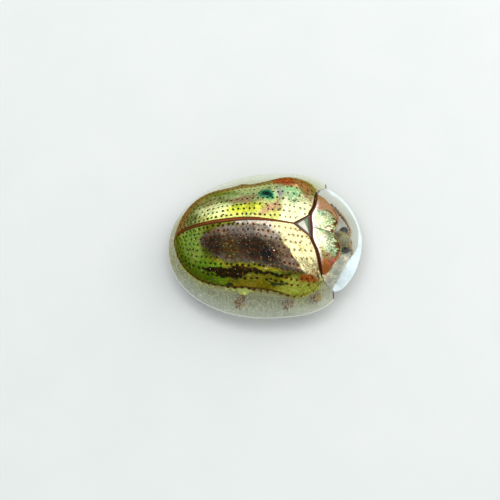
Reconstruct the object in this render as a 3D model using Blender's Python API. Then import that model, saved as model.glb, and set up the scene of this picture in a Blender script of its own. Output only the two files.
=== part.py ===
"""Golden tortoise beetle, life size, standing on its six feet with its shield closed.

Sizes are millimetres while the shapes are made. to_metres() at the end turns every mesh to metres.
The head points along +X, the animal's left is +Y, and the soles of the feet are at z = 0.
"""

import math

import bmesh
import bpy
import numpy as np
from mathutils import Matrix, Vector

MM = 0.001

# Driving dimensions
BODY_LENGTH = 6.5
SHIELD_WIDTH = 5.32
DOME_RISE = 1.93
RIM_LEVEL = 0.50

# Clear space between neighbours, and the softness with which a form is bent away from one
GAP = 0.05
EASE = 0.03

# The shield's outline is two ovals, one of the wing cases and one of the pronotum
TAIL_X = -BODY_LENGTH / 2
FRONT_X = BODY_LENGTH / 2
WIDEST_X = 0.20
HALF_WIDTH = (SHIELD_WIDTH - GAP) / 2
REAR_REACH = WIDEST_X - TAIL_X
FORE_REACH = 2.60
REAR_ROUND = 2.05
FORE_ROUND = 2.85
PRONOTUM_CORNER_X = 2.20
PRONOTUM_HALF_WIDTH = 1.88
PRONOTUM_ROUND = 1.7
PRONOTUM_BACK_REACH = 3.0

# The dome is described in rays round its apex
APEX_X = -0.50
HUMERAL_ANGLE = 38.3
PRONOTUM_CORNER_ANGLE = 34.6
DISC_EDGE_RISE = 0.50
TAIL_EDGE_RISE = 0.45
FORE_DOME = (1.55, 1.0)
REAR_DOME = (2.1, 0.5)

# Width of the flat margin at angles from straight ahead, the same on both sides of it
MARGIN_WIDTHS = (
    (-12, 0.64),
    (0, 0.82),
    (12, 0.64),
    (24, 0.61),
    (33, 0.64),
    (43, 0.53),
    (54, 0.52),
    (68, 0.74),
    (80, 0.80),
    (94, 0.74),
    (110, 0.68),
    (138, 0.44),
    (165, 0.33),
    (180, 0.28),
)

# Raised places on the shield: x, distance from the middle, height, spread
HUMERAL_CALLUS = (1.22, 1.52, 0.13, 0.24)
SIDE_LOBE = (-0.67, 1.88, 0.14, 0.14)
PRONOTUM_SWELL = (2.02, 0.45, 0.06, 0.30)

# Thickness of the shield, in the dome, at the edge of its disc and at the rim
DOME_WALL = 0.50
EDGE_WALL = 0.34
RIM_WALL = 0.12
STEEPEST_WALL = 1.7

# Line along which pronotum and wing cases meet: x at distances from the middle
SHOULDER_LINE = (
    (0.00, 1.55),
    (0.42, 1.55),
    (0.80, 1.70),
    (1.10, 1.76),
    (1.45, 1.82),
    (1.70, 1.94),
    (1.84, 2.09),
    (1.90, 2.20),
)
SCUTELLUM_TIP_X = 1.04
SCUTELLUM_HALF_WIDTH = 0.40

# Trunk under the shield
TRUNK_HALF_WIDTH = 1.60
TRUNK_ROUND = 2.3
TRUNK_REAR_X = -2.68
TRUNK_MIDDLE_X = 0.10
TRUNK_FRONT_X = 2.75
BELLY_LEVEL = 0.68
BELLY_SIDE_RISE = 0.30
THINNEST_EDGE = 0.10
WAIST_X = -0.45
THORAX_FRONT_X = 1.52
PROTHORAX_FRONT_X = 2.16
STERNITE_SHARES = (0.30, 0.20, 0.17, 0.15, 0.18)
SEAM_DEPTH = 0.06
SEAM_HALF_WIDTH = 0.035

# Head, seen through the clear front of the pronotum
HEAD_CENTRE = Vector((2.52, 0.0, 0.36))
HEAD_RADII = Vector((0.38, 0.42, 0.26))
EYE_CENTRE = Vector((2.67, 0.35, 0.41))
EYE_RADII = Vector((0.15, 0.12, 0.17))
MANDIBLE_ROOT = Vector((2.72, 0.10, 0.24))
MANDIBLE_TIP = Vector((2.90, 0.04, 0.13))
PALP_ROOT = Vector((2.64, 0.18, 0.18))
PALP_TIP = Vector((2.86, 0.24, 0.10))

# Antenna: its line from the brow out and back under the rim, and its eleven beads
ANTENNA_LINE = (
    (2.82, 0.15, 0.40),
    (2.90, 0.38, 0.33),
    (2.82, 0.68, 0.28),
    (2.68, 0.98, 0.25),
    (2.48, 1.26, 0.25),
    (2.28, 1.50, 0.24),
)
ANTENNA_BEADS = 11
SCAPE_RADIUS = 0.10
FUNICLE_RADIUS = 0.075
CLUB_RADIUS = 0.115

# Legs: coxa, knee, ankle and toe on the left side, front to back
LEG_LINES = {
    "fore": ((1.82, 0.42, 0.44), (1.94, 1.08, 0.37), (1.68, 1.42, 0.24), (1.60, 1.90, 0.14)),
    "middle": ((0.72, 0.62, 0.44), (1.10, 1.32, 0.37), (0.82, 1.62, 0.24), (0.66, 2.09, 0.14)),
    "hind": ((-0.22, 0.66, 0.44), (-0.34, 1.34, 0.37), (-0.74, 1.52, 0.24), (-0.90, 1.96, 0.14)),
}
COXA_RADII = Vector((0.25, 0.27, 0.19))
FEMUR_RADIUS = 0.23
TIBIA_RADIUS = 0.17
TARSUS_HALF_WIDTH = 0.20
TARSUS_HALF_HEIGHT = 0.15
CLAW_LENGTH = 0.16
CLAW_RADIUS = 0.05

# Fineness of the solids
RAYS_PER_WING_CASE = 44
DISC_RINGS = 9
MARGIN_RINGS = 3
PRONOTUM_RAYS = 36
PRONOTUM_RINGS = 6

COLOURS = {
    "gold": ((0.62, 0.55, 0.12), 0.22, 1.0),
    "rust": ((0.45, 0.13, 0.03), 0.35, 0.1),
    "amber": ((0.55, 0.38, 0.10), 0.35, 0.0),
    "black": ((0.02, 0.02, 0.02), 0.15, 0.0),
}


def clear_scene():
    for obj in list(bpy.data.objects):
        bpy.data.objects.remove(obj)


def make_collection(name):
    collection = bpy.data.collections.new(name)
    bpy.context.scene.collection.children.link(collection)
    return collection


def make_material(name):
    colour, roughness, metallic = COLOURS[name]
    material = bpy.data.materials.new(name)
    material.use_nodes = True
    shader = material.node_tree.nodes["Principled BSDF"]
    shader.inputs["Base Color"].default_value = (*colour, 1.0)
    shader.inputs["Roughness"].default_value = roughness
    shader.inputs["Metallic"].default_value = metallic
    return material


def smooth_share(low, high, value):
    share = np.clip((value - low) / (high - low), 0.0, 1.0)
    return share * share * (3 - 2 * share)


def through_stations(value, stations):
    """A smooth curve through (place, size) stations."""
    places = np.array([place for place, _ in stations], float)
    sizes = np.array([size for _, size in stations], float)
    slopes = np.gradient(sizes, places)
    value = np.clip(value, places[0], places[-1])
    index = np.clip(np.searchsorted(places, value, side="right") - 1, 0, len(places) - 2)
    step = places[index + 1] - places[index]
    t = (value - places[index]) / step
    rise = sizes[index] * (2 * t**3 - 3 * t**2 + 1) + sizes[index + 1] * (3 * t**2 - 2 * t**3)
    lean = slopes[index] * (t**3 - 2 * t**2 + t) + slopes[index + 1] * (t**3 - t**2)
    return rise + lean * step


def soft_above(value, level, softness):
    """The value where it is well above a level, and eased so that it never goes below it."""
    excess = (value - level) / softness
    return level + softness * (max(excess, 0.0) + math.log1p(math.exp(-abs(excess))))


def soft_below(value, level, softness):
    return -soft_above(-value, -level, softness)


def wing_case_oval(x, y):
    behind = x < WIDEST_X
    reach = np.where(behind, REAR_REACH, FORE_REACH)
    roundness = np.where(behind, REAR_ROUND, FORE_ROUND)
    return (np.abs(x - WIDEST_X) / reach) ** roundness + (np.abs(y) / HALF_WIDTH) ** roundness


def pronotum_oval(x, y):
    reach = np.where(x < PRONOTUM_CORNER_X, PRONOTUM_BACK_REACH, FRONT_X - PRONOTUM_CORNER_X)
    along = (np.abs(x - PRONOTUM_CORNER_X) / reach) ** PRONOTUM_ROUND
    return along + (np.abs(y) / PRONOTUM_HALF_WIDTH) ** PRONOTUM_ROUND


def ray_length(is_past, angle):
    """How far each ray from the apex runs before is_past(x, y) holds, by halving."""
    near = np.full(angle.shape, 0.4)
    far = np.full(angle.shape, 4.0)
    for _ in range(40):
        middle = (near + far) / 2
        past = is_past(APEX_X + middle * np.cos(angle), middle * np.sin(angle))
        near = np.where(past, near, middle)
        far = np.where(past, middle, far)
    return near


RAYS = np.linspace(0, math.pi, 1441)
WING_CASE_REACH = ray_length(lambda x, y: wing_case_oval(x, y) > 1, RAYS)
PRONOTUM_REACH = ray_length(lambda x, y: pronotum_oval(x, y) > 1, RAYS)
SHIELD_REACH = np.where(
    RAYS < math.radians(60), np.maximum(WING_CASE_REACH, PRONOTUM_REACH), WING_CASE_REACH
)


def wing_case_rim(angle):
    return np.interp(angle, RAYS, WING_CASE_REACH)


def rim_radius(angle):
    """The shield's reach from the apex: the wider of its two ovals ahead, the wing cases behind."""
    return np.interp(angle, RAYS, SHIELD_REACH)


def polar(x, y):
    return np.hypot(x - APEX_X, y), np.abs(np.arctan2(y, x - APEX_X))


def margin_width(angle):
    return through_stations(np.degrees(angle), MARGIN_WIDTHS)


def raised(x, y, place):
    centre_x, centre_y, height, spread = place
    return height * np.exp(-((x - centre_x) ** 2 + (np.abs(y) - centre_y) ** 2) / (2 * spread**2))


def shield_top(x, y):
    """Height of the shield's upper face over a point of the floor."""
    x, y = np.asarray(x, float), np.asarray(y, float)
    radius, angle = polar(x, y)
    rim = rim_radius(angle)
    margin = margin_width(angle)
    disc = rim - margin
    edge = DISC_EDGE_RISE + (TAIL_EDGE_RISE - DISC_EDGE_RISE) * smooth_share(2.5, math.pi, angle)
    side = smooth_share(math.radians(15), math.radians(75), angle)
    power = FORE_DOME[0] + side * (REAR_DOME[0] - FORE_DOME[0])
    outer = FORE_DOME[1] + side * (REAR_DOME[1] - FORE_DOME[1])
    share = np.clip(radius / disc, 0, 1)
    dome = edge + (DOME_RISE - edge) * (1 - share**power) ** outer
    flange = edge * (1 - np.clip((radius - disc) / margin, 0, 1))
    bumps = sum(raised(x, y, place) for place in (HUMERAL_CALLUS, SIDE_LOBE, PRONOTUM_SWELL))
    fade = smooth_share(0.0, 0.4, (rim - radius) / margin)
    return RIM_LEVEL + np.where(radius < disc, dome, flange) + bumps * fade


def shield_underside(x, y):
    """The shield's lower face: thick under the dome, thin at the rim."""
    step = 0.02
    radius, angle = polar(x, y)
    rim = rim_radius(angle)
    disc = rim - margin_width(angle)
    across = (radius - disc) / (rim - disc)
    inner = EDGE_WALL + (DOME_WALL - EDGE_WALL) * smooth_share(0.0, 0.5, -across)
    wall = inner + (RIM_WALL - EDGE_WALL) * np.clip(across, 0, 1)
    slope_x = (shield_top(x + step, y) - shield_top(x - step, y)) / (2 * step)
    slope_y = (shield_top(x, y + step) - shield_top(x, y - step)) / (2 * step)
    steep = np.minimum(np.sqrt(1 + slope_x**2 + slope_y**2), STEEPEST_WALL)
    lean = np.where(across > 0, 1 + (steep - 1) * (1 - np.clip(across, 0, 1)), steep)
    return shield_top(x, y) - wall * lean


def shoulder_x(y):
    return through_stations(np.abs(y), SHOULDER_LINE)


def trunk_half_width(x):
    x = np.asarray(x, float)
    reach = np.where(x < TRUNK_MIDDLE_X, TRUNK_MIDDLE_X - TRUNK_REAR_X, TRUNK_FRONT_X - TRUNK_MIDDLE_X)
    share = np.clip(np.abs(x - TRUNK_MIDDLE_X) / reach, 0, 1)
    return TRUNK_HALF_WIDTH * (1 - share**TRUNK_ROUND) ** (1 / TRUNK_ROUND)


def sternite_seams():
    length = WAIST_X - GAP / 2 - TRUNK_REAR_X
    front = WAIST_X - GAP / 2
    return [front - length * share for share in np.cumsum(STERNITE_SHARES)[:-1]]


def belly(x, y):
    """Underside of the trunk, rising to its sides, with a seam between the plates of the abdomen."""
    x, y = np.asarray(x, float), np.asarray(y, float)
    share = np.clip(np.abs(y) / np.maximum(trunk_half_width(x), 0.05), 0, 1)
    level = BELLY_LEVEL + BELLY_SIDE_RISE * share**3
    for seam in sternite_seams():
        level = level + SEAM_DEPTH * (np.abs(x - seam) < SEAM_HALF_WIDTH)
    return level


def trunk_top(x, y):
    return shield_underside(x, y) - GAP


def trunk_bottom(x, y):
    return np.minimum(belly(x, y), trunk_top(x, y) - THINNEST_EDGE)


def new_object(name, mesh, collection, material=None):
    obj = bpy.data.objects.new(name, mesh)
    collection.objects.link(obj)
    if material:
        mesh.materials.append(material)
    return obj


def finish_mesh(bm, name):
    bmesh.ops.recalc_face_normals(bm, faces=bm.faces)
    mesh = bpy.data.meshes.new(name)
    bm.to_mesh(mesh)
    bm.free()
    mesh.shade_smooth()
    mesh.set_sharp_from_angle(angle=math.radians(40))
    return mesh


def plate(name, columns, rows, plan, top, bottom, collection, material):
    """A closed plate over a plan: plan(u, v) gives x and y, and top and bottom give its two faces."""
    bm = bmesh.new()
    bmesh.ops.create_grid(bm, x_segments=columns, y_segments=rows, size=0.5)
    for vert in bm.verts:
        x, y = plan(vert.co.x + 0.5, vert.co.y + 0.5)
        vert.co = (x, y, float(bottom(x, y)))
    bmesh.ops.remove_doubles(bm, verts=bm.verts, dist=1e-4)
    raised_part = bmesh.ops.extrude_face_region(bm, geom=list(bm.faces), use_keep_orig=True)
    upper = [item for item in raised_part["geom"] if isinstance(item, bmesh.types.BMVert)]
    for vert in upper:
        vert.co.z = float(top(vert.co.x, vert.co.y))
    return new_object(name, finish_mesh(bm, name), collection, material)


def past_base(x, y):
    """Whether a place is ahead of a wing case's base, which runs along scutellum and pronotum."""
    slant = (SHOULDER_LINE[0][1] - SCUTELLUM_TIP_X) / SCUTELLUM_HALF_WIDTH
    past_scutellum = (x - SCUTELLUM_TIP_X + GAP > y * slant) & (y < SCUTELLUM_HALF_WIDTH)
    return past_scutellum | (x > shoulder_x(y) - GAP)


def wing_case_plan(side):
    """Plan of one wing case, in rays from the apex: v runs round it and u out along a ray."""
    humeral = math.radians(HUMERAL_ANGLE)
    ahead_rays = 0.30
    base_reach = ray_length(past_base, RAYS)

    def place(u, v):
        if v < ahead_rays:
            angle = humeral * v / ahead_rays
        else:
            angle = humeral + (math.pi - humeral) * (v - ahead_rays) / (1 - ahead_rays)
        rim = float(wing_case_rim(angle))
        if angle < humeral - 1e-6:
            rim = min(rim, float(np.interp(angle, RAYS, base_reach)))
        disc = min(float(rim_radius(angle) - margin_width(angle)), 0.92 * rim)
        ring = u * (DISC_RINGS + MARGIN_RINGS)
        if ring <= DISC_RINGS:
            radius = disc * (ring / DISC_RINGS)
        else:
            radius = disc + (rim - disc) * (ring - DISC_RINGS) / MARGIN_RINGS
        y = max(radius * math.sin(angle), 0.0) + GAP / 2
        return APEX_X + radius * math.cos(angle), side * y

    return place


def make_wing_case(side, name, collection, material):
    return plate(
        name,
        DISC_RINGS + MARGIN_RINGS,
        RAYS_PER_WING_CASE,
        wing_case_plan(side),
        shield_top,
        shield_underside,
        collection,
        material,
    )


def pronotum_plan():
    """Plan of the pronotum in rays from the apex, from its hind edge out to its rim."""
    corner = math.radians(PRONOTUM_CORNER_ANGLE)
    hind_edge = ray_length(lambda x, y: x > shoulder_x(y), RAYS)
    rings = PRONOTUM_RINGS + MARGIN_RINGS

    def place(u, v):
        turn = corner * (2 * v - 1)
        angle = abs(turn)
        back = float(np.interp(angle, RAYS, hind_edge))
        rim = float(np.interp(angle, RAYS, PRONOTUM_REACH))
        edge = float(rim_radius(angle) - margin_width(angle))
        edge = min(max(edge, back + 0.2 * (rim - back)), rim - 0.2 * (rim - back))
        ring = u * rings
        if ring <= PRONOTUM_RINGS:
            radius = back + (edge - back) * ring / PRONOTUM_RINGS
        else:
            radius = edge + (rim - edge) * (ring - PRONOTUM_RINGS) / MARGIN_RINGS
        return APEX_X + radius * math.cos(turn), radius * math.sin(turn)

    return place


def make_pronotum(collection, material):
    return plate(
        "pronotum",
        PRONOTUM_RINGS + MARGIN_RINGS,
        PRONOTUM_RAYS,
        pronotum_plan(),
        shield_top,
        shield_underside,
        collection,
        material,
    )


def make_scutellum(collection, material):
    front = SHOULDER_LINE[0][1] - GAP
    tip = SCUTELLUM_TIP_X + GAP

    def place(u, v):
        half = (SCUTELLUM_HALF_WIDTH - GAP) * (0.12 + 0.88 * u)
        return tip + (front - tip) * u, half * (2 * v - 1)

    def top(x, y):
        return shield_top(x, y) + 0.02

    return plate("scutellum", 4, 6, place, top, shield_underside, collection, material)


def trunk_plan(rear, front, rows):
    """Plan of one part of the trunk between two cuts across it. rows holds the shares along it."""

    def place(u, v):
        x = rear + (front - rear) * float(np.interp(u, np.linspace(0, 1, len(rows)), rows))
        half = float(trunk_half_width(x))
        return x, half * math.sin((v - 0.5) * math.pi)

    return place


def make_abdomen(collection, material):
    rear, front = TRUNK_REAR_X + 0.06, WAIST_X - GAP / 2
    cuts = {0.0, 1.0}
    for seam in sternite_seams():
        for offset in (-1.4, -0.8, 0.8, 1.4):
            cuts.add((seam + offset * SEAM_HALF_WIDTH - rear) / (front - rear))
    cuts |= {0.04, 0.10, 0.5 * (max(cuts - {1.0}) + 1.0)}
    rows = sorted(cuts)
    plan = trunk_plan(rear, front, rows)
    return plate(
        "abdomen", len(rows) - 1, 14, plan, trunk_top, trunk_bottom, collection, material
    )


def make_thorax(collection, material):
    plan = trunk_plan(WAIST_X + GAP / 2, THORAX_FRONT_X, (0, 0.2, 0.4, 0.6, 0.8, 1))
    return plate("thorax", 5, 14, plan, trunk_top, trunk_bottom, collection, material)


def make_prothorax(collection, material):
    plan = trunk_plan(THORAX_FRONT_X + GAP, PROTHORAX_FRONT_X, (0, 0.33, 0.67, 1))
    return plate("prothorax", 3, 14, plan, trunk_top, trunk_bottom, collection, material)


def ellipsoid(centre, radii, segments, rings):
    bm = bmesh.new()
    place = Matrix.Translation(centre) @ Matrix.Diagonal((*radii, 1.0))
    bmesh.ops.create_uvsphere(bm, u_segments=segments, v_segments=rings, radius=1.0, matrix=place)
    return bm


def spindle(start, end, radii, segments, flatten=1.0):
    """A closed limb from start to end whose radius follows radii, as a stack of drawn-in rings."""
    start, end = Vector(start), Vector(end)
    axis = end - start
    turn = axis.to_track_quat("Z", "Y").to_matrix().to_4x4()
    bm = bmesh.new()
    bmesh.ops.create_uvsphere(
        bm, u_segments=segments, v_segments=len(radii) + 1, radius=1.0
    )
    for vert in bm.verts:
        ring = round((1 - math.acos(max(-1, min(1, vert.co.z))) / math.pi) * (len(radii) + 1))
        share = ring / (len(radii) + 1)
        flat = Vector((vert.co.x, vert.co.y, 0))
        if flat.length > 1e-6:
            flat.normalize()
            flat *= radii[ring - 1]
        vert.co = Vector((flat.x, flat.y * flatten, share * axis.length))
    bm.transform(Matrix.Translation(start) @ turn)
    return bm


def joined(name, meshes, collection, material):
    """One closed body from overlapping closed pieces, by a union that is applied."""
    pieces = bpy.data.collections.new(name + "_pieces")
    bpy.context.scene.collection.children.link(pieces)
    for number, bm in enumerate(meshes[1:]):
        new_object(f"{name}_piece_{number}", finish_mesh(bm, "piece"), pieces)
    base = new_object(name, finish_mesh(meshes[0], name), collection)
    union = base.modifiers.new("union", "BOOLEAN")
    union.operation = "UNION"
    union.operand_type = "COLLECTION"
    union.collection = pieces
    union.solver = "EXACT"
    bpy.context.view_layer.update()
    graph = bpy.context.evaluated_depsgraph_get()
    made = bpy.data.meshes.new_from_object(base.evaluated_get(graph))
    base.modifiers.clear()
    base.data = made
    made.name = name
    made.materials.clear()
    made.materials.append(material)
    for obj in list(pieces.objects):
        bpy.data.objects.remove(obj)
    bpy.data.collections.remove(pieces)
    made.shade_smooth()
    made.set_sharp_from_angle(angle=math.radians(50))
    return base


def reshape(obj, move):
    for vert in obj.data.vertices:
        vert.co = move(vert.co.copy())
    obj.data.update()


def head_share(point, grown):
    """Below 1 inside the head's ellipsoid, grown by a distance all round."""
    offset = point - HEAD_CENTRE
    return math.sqrt(sum((offset[i] / (HEAD_RADII[i] + grown)) ** 2 for i in range(3)))


def off_the_head(point):
    """Pushes a point of what grows from the head out to a clear gap from it."""
    share = head_share(point, GAP)
    return HEAD_CENTRE + (point - HEAD_CENTRE) * (soft_above(share, 1.0, 0.05) / share)


def under_shield(point, clear=GAP):
    ceiling = float(shield_underside(point.x, point.y)) - clear
    return Vector((point.x, point.y, soft_below(point.z, ceiling, EASE)))


def mirrored(point, side):
    return Vector((point[0], side * point[1], point[2]))


def make_head(collection, material):
    pieces = [ellipsoid(HEAD_CENTRE, HEAD_RADII, 22, 14)]
    for side in (1, -1):
        jaw = (0.11, 0.12, 0.09, 0.05)
        palp = (0.06, 0.07, 0.06)
        pieces.append(
            spindle(mirrored(MANDIBLE_ROOT, side), mirrored(MANDIBLE_TIP, side), jaw, 8)
        )
        pieces.append(spindle(mirrored(PALP_ROOT, side), mirrored(PALP_TIP, side), palp, 7))
    head = joined("head", pieces, collection, material)

    def fit(point):
        point.x = soft_above(point.x, PROTHORAX_FRONT_X + GAP, EASE)
        return under_shield(point)

    reshape(head, fit)
    return head


def make_eye(side, name, collection, material):
    mesh = finish_mesh(ellipsoid(mirrored(EYE_CENTRE, side), EYE_RADII, 16, 10), name)
    eye = new_object(name, mesh, collection, material)
    reshape(eye, lambda point: under_shield(off_the_head(point)))
    return eye


def along_line(line, share):
    """A point at a share of a smooth line's points."""
    places = np.linspace(0, 1, len(line))
    return Vector(
        float(through_stations(share, list(zip(places, [point[axis] for point in line]))))
        for axis in range(3)
    )


def bead_radius(number):
    if number == 0:
        return SCAPE_RADIUS
    club = smooth_share(5.0, 8.0, number)
    tip = 0.85 if number == ANTENNA_BEADS - 1 else 1.0
    return float(FUNICLE_RADIUS + club * (CLUB_RADIUS - FUNICLE_RADIUS)) * tip


def make_antenna(side, name, collection, material):
    pieces = []
    for number in range(ANTENNA_BEADS):
        start = along_line(ANTENNA_LINE, number / ANTENNA_BEADS)
        end = along_line(ANTENNA_LINE, (number + 1) / ANTENNA_BEADS)
        overlap = (end - start) * 0.22
        radius = bead_radius(number)
        radii = (0.72 * radius, radius, 0.80 * radius)
        pieces.append(
            spindle(mirrored(start - overlap, side), mirrored(end + overlap, side), radii, 8)
        )
    antenna = joined(name, pieces, collection, material)
    reshape(antenna, lambda point: under_shield(off_the_head(point)))
    return antenna


def make_claws(toe, outward):
    """Two short hooks that spread from the toe and rest on the floor."""
    hooks = []
    across = Vector((-outward.y, outward.x, 0))
    for lean in (0.45, -0.45):
        way = (outward + across * lean).normalized()
        root = toe - outward * 0.06
        tip = root + way * (CLAW_LENGTH + 0.06) - Vector((0, 0, 0.06))
        hooks.append(spindle(root, tip, (CLAW_RADIUS, CLAW_RADIUS * 0.8), 6))
    return hooks


def make_tarsus(ankle, toe):
    """Flat lobed foot of three pads, widest at the second and third."""
    pads = []
    for number, width in enumerate((0.72, 0.92, 1.0)):
        centre = ankle.lerp(toe, (number + 0.45) / 3)
        radii = (
            (toe - ankle).length / 3 * 0.78,
            TARSUS_HALF_WIDTH * width,
            TARSUS_HALF_HEIGHT,
        )
        bm = ellipsoid(Vector(), radii, 10, 6)
        turn = math.atan2(toe.y - ankle.y, toe.x - ankle.x)
        level = Vector((centre.x, centre.y, TARSUS_HALF_HEIGHT - 0.035))
        bm.transform(Matrix.Translation(level) @ Matrix.Rotation(turn, 4, "Z"))
        pads.append(bm)
    return pads


def make_leg(side, pair, collection, material):
    coxa, knee, ankle, toe = (mirrored(point, side) for point in LEG_LINES[pair])
    femur_start = coxa.lerp(knee, 0.05)
    femur = [FEMUR_RADIUS * share for share in (0.62, 0.90, 1.0, 0.96, 0.70)]
    tibia = [TIBIA_RADIUS * share for share in (0.80, 0.84, 0.92, 1.0, 0.90)]
    knee_end = knee + (knee - coxa).normalized() * 0.12
    tibia_start = knee - (ankle - knee).normalized() * 0.10
    tibia_end = ankle + (ankle - knee).normalized() * 0.10
    outward = toe - ankle
    outward.z = 0
    pieces = [
        ellipsoid(coxa, COXA_RADII, 12, 8),
        spindle(femur_start, knee_end, femur, 10),
        spindle(tibia_start, tibia_end, tibia, 8),
        *make_tarsus(ankle, toe),
        *make_claws(toe, outward.normalized()),
    ]
    name = f"leg_{pair}_{'left' if side > 0 else 'right'}"
    leg = joined(name, pieces, collection, material)

    def fit(point):
        under_trunk = float(trunk_bottom(point.x, point.y)) - GAP
        under_flange = float(shield_underside(point.x, point.y)) - GAP
        point.z = soft_below(point.z, min(under_trunk, under_flange), EASE)
        point.z = max(point.z, 0.0)
        return point

    reshape(leg, fit)
    return leg


def to_metres(collection):
    for obj in collection.objects:
        obj.data.transform(Matrix.Scale(MM, 4))
        obj.data.update()


def make_beetle():
    clear_scene()
    beetle = make_collection("tortoise_beetle")
    materials = {name: make_material(name) for name in COLOURS}
    gold, rust, amber, black = (materials[name] for name in ("gold", "rust", "amber", "black"))
    make_pronotum(beetle, gold)
    make_scutellum(beetle, gold)
    make_abdomen(beetle, rust)
    make_thorax(beetle, rust)
    make_prothorax(beetle, rust)
    make_head(beetle, amber)
    for side, word in ((1, "left"), (-1, "right")):
        make_wing_case(side, f"wing_case_{word}", beetle, gold)
        make_eye(side, f"eye_{word}", beetle, black)
        make_antenna(side, f"antenna_{word}", beetle, amber)
        for pair in LEG_LINES:
            make_leg(side, pair, beetle, amber)
    to_metres(beetle)


make_beetle()
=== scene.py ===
"""Looks of the golden tortoise beetle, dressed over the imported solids.

Shapes are worked out in millimetres and turned to metres as each piece is made. The head points along
+X, the animal's left is +Y and the floor is z = 0, as in the frame.
"""

import math
import random
from functools import partial

import bmesh
import bpy
import numpy as np
from mathutils import Matrix, Vector, noise
from mathutils.kdtree import KDTree


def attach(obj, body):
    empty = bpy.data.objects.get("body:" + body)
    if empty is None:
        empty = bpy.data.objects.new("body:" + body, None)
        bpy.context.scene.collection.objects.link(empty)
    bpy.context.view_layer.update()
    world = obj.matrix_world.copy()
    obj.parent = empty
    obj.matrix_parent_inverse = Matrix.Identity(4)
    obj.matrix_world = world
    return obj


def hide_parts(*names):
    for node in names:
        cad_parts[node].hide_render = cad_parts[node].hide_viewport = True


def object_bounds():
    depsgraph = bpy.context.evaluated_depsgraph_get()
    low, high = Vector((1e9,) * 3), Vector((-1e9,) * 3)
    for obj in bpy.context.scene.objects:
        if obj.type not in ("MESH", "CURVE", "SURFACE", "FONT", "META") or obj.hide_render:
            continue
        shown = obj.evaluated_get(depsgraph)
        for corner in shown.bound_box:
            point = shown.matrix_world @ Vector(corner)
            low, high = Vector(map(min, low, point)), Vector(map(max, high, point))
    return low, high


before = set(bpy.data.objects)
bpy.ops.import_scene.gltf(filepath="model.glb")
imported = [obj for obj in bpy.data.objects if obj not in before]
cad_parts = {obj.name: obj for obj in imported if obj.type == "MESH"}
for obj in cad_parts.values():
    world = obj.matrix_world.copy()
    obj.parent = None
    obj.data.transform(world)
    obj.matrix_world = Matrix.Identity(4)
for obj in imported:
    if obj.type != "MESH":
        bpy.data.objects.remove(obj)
cad_low, cad_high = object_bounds()

MM = 0.001
LUCK = random.Random(6)

# The frame gives the shield's length, width and height
BODY_LENGTH = (cad_high.x - cad_low.x) / MM
SHIELD_WIDTH = (cad_high.y - cad_low.y) / MM
DOME_RISE = 1.93
RIM_LEVEL = 0.5

# The two ovals of the outline, as in the solids
TAIL_X = -BODY_LENGTH / 2
FRONT_X = BODY_LENGTH / 2
WIDEST_X = 0.2
SEAM = 0.006
HALF_WIDTH = (SHIELD_WIDTH - SEAM) / 2
REAR_REACH = WIDEST_X - TAIL_X
FORE_REACH = 2.6
REAR_ROUND = 2.05
FORE_ROUND = 2.85
PRONOTUM_CORNER_X = 2.2
PRONOTUM_HALF_WIDTH = 1.88
PRONOTUM_ROUND = 1.7
PRONOTUM_BACK_REACH = 3.0

# The dome, in rays round its apex
APEX_X = -0.5
HUMERAL_ANGLE = 38.3
PRONOTUM_CORNER_ANGLE = 34.75
DISC_EDGE_RISE = 0.5
TAIL_EDGE_RISE = 0.45
FORE_DOME = (1.55, 1.0)
REAR_DOME = (2.1, 0.5)

# Width of the flat margin at angles from straight ahead, the same on both sides of it
MARGIN_WIDTHS = (
    (-12, 0.64), (0, 0.82), (12, 0.64), (24, 0.61), (33, 0.64), (43, 0.53), (54, 0.52),
    (68, 0.74), (80, 0.8), (94, 0.74), (110, 0.68), (138, 0.44), (165, 0.33), (180, 0.28),
)
# How far the crease between dome and margin is eased to each side
CREASE_EASE = 0.08

# Raised places: x, distance from the middle, height, spread
HUMERAL_CALLUS = (1.22, 1.52, 0.13, 0.24)
SIDE_LOBE = (-0.67, 1.88, 0.14, 0.14)
PRONOTUM_SWELL = (2.02, 0.45, 0.06, 0.3)

# Where pronotum and wing cases meet, and the scutellum between them
SHOULDER_LINE = (
    (0.0, 1.55), (0.42, 1.55), (0.8, 1.7), (1.1, 1.76),
    (1.45, 1.82), (1.7, 1.94), (1.84, 2.09), (1.9, 2.2),
)
SCUTELLUM_TIP_X = 1.04
SCUTELLUM_HALF_WIDTH = 0.4

# Walls of the shield as the skins have them
DISC_WALL = 0.16
MARGIN_WALL = 0.03
# Height of the dark lines over the shield
LINE_RISE = 0.014

# Pits: nine rows on each wing case, and a coarse one along the edge of its disc
PIT_ROWS = (0.095, 0.2, 0.3, 0.42, 0.54, 0.65, 0.75, 0.84, 0.91)
PIT_STEP = 0.155
PIT_RADIUS = 0.04
PIT_DEPTH = 0.022
EDGE_PIT_STEP = 0.215
EDGE_PIT_RADIUS = 0.06
EDGE_PIT_DEPTH = 0.03
# Fineness of the skins
RAYS_IN_SKIN = 470
DISC_RINGS = 120
MARGIN_RINGS = 36

SIDE_WORDS = {1: "left", -1: "right"}


# Shape of the shield


def ease(low, high, value):
    """A smooth rise from 0 at low to 1 at high, or a fall where low is the larger."""
    share = np.clip((value - low) / (high - low), 0.0, 1.0)
    return share * share * (3 - 2 * share)


def through(value, stations):
    """A smooth curve through (place, size) stations."""
    places = np.array([place for place, _ in stations], float)
    sizes = np.array([size for _, size in stations], float)
    slopes = np.gradient(sizes, places)
    value = np.clip(value, places[0], places[-1])
    index = np.clip(np.searchsorted(places, value, side="right") - 1, 0, len(places) - 2)
    step = places[index + 1] - places[index]
    t = (value - places[index]) / step
    rise = sizes[index] * (2 * t**3 - 3 * t**2 + 1) + sizes[index + 1] * (3 * t**2 - 2 * t**3)
    lean = slopes[index] * (t**3 - 2 * t**2 + t) + slopes[index + 1] * (t**3 - t**2)
    return rise + lean * step


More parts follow.
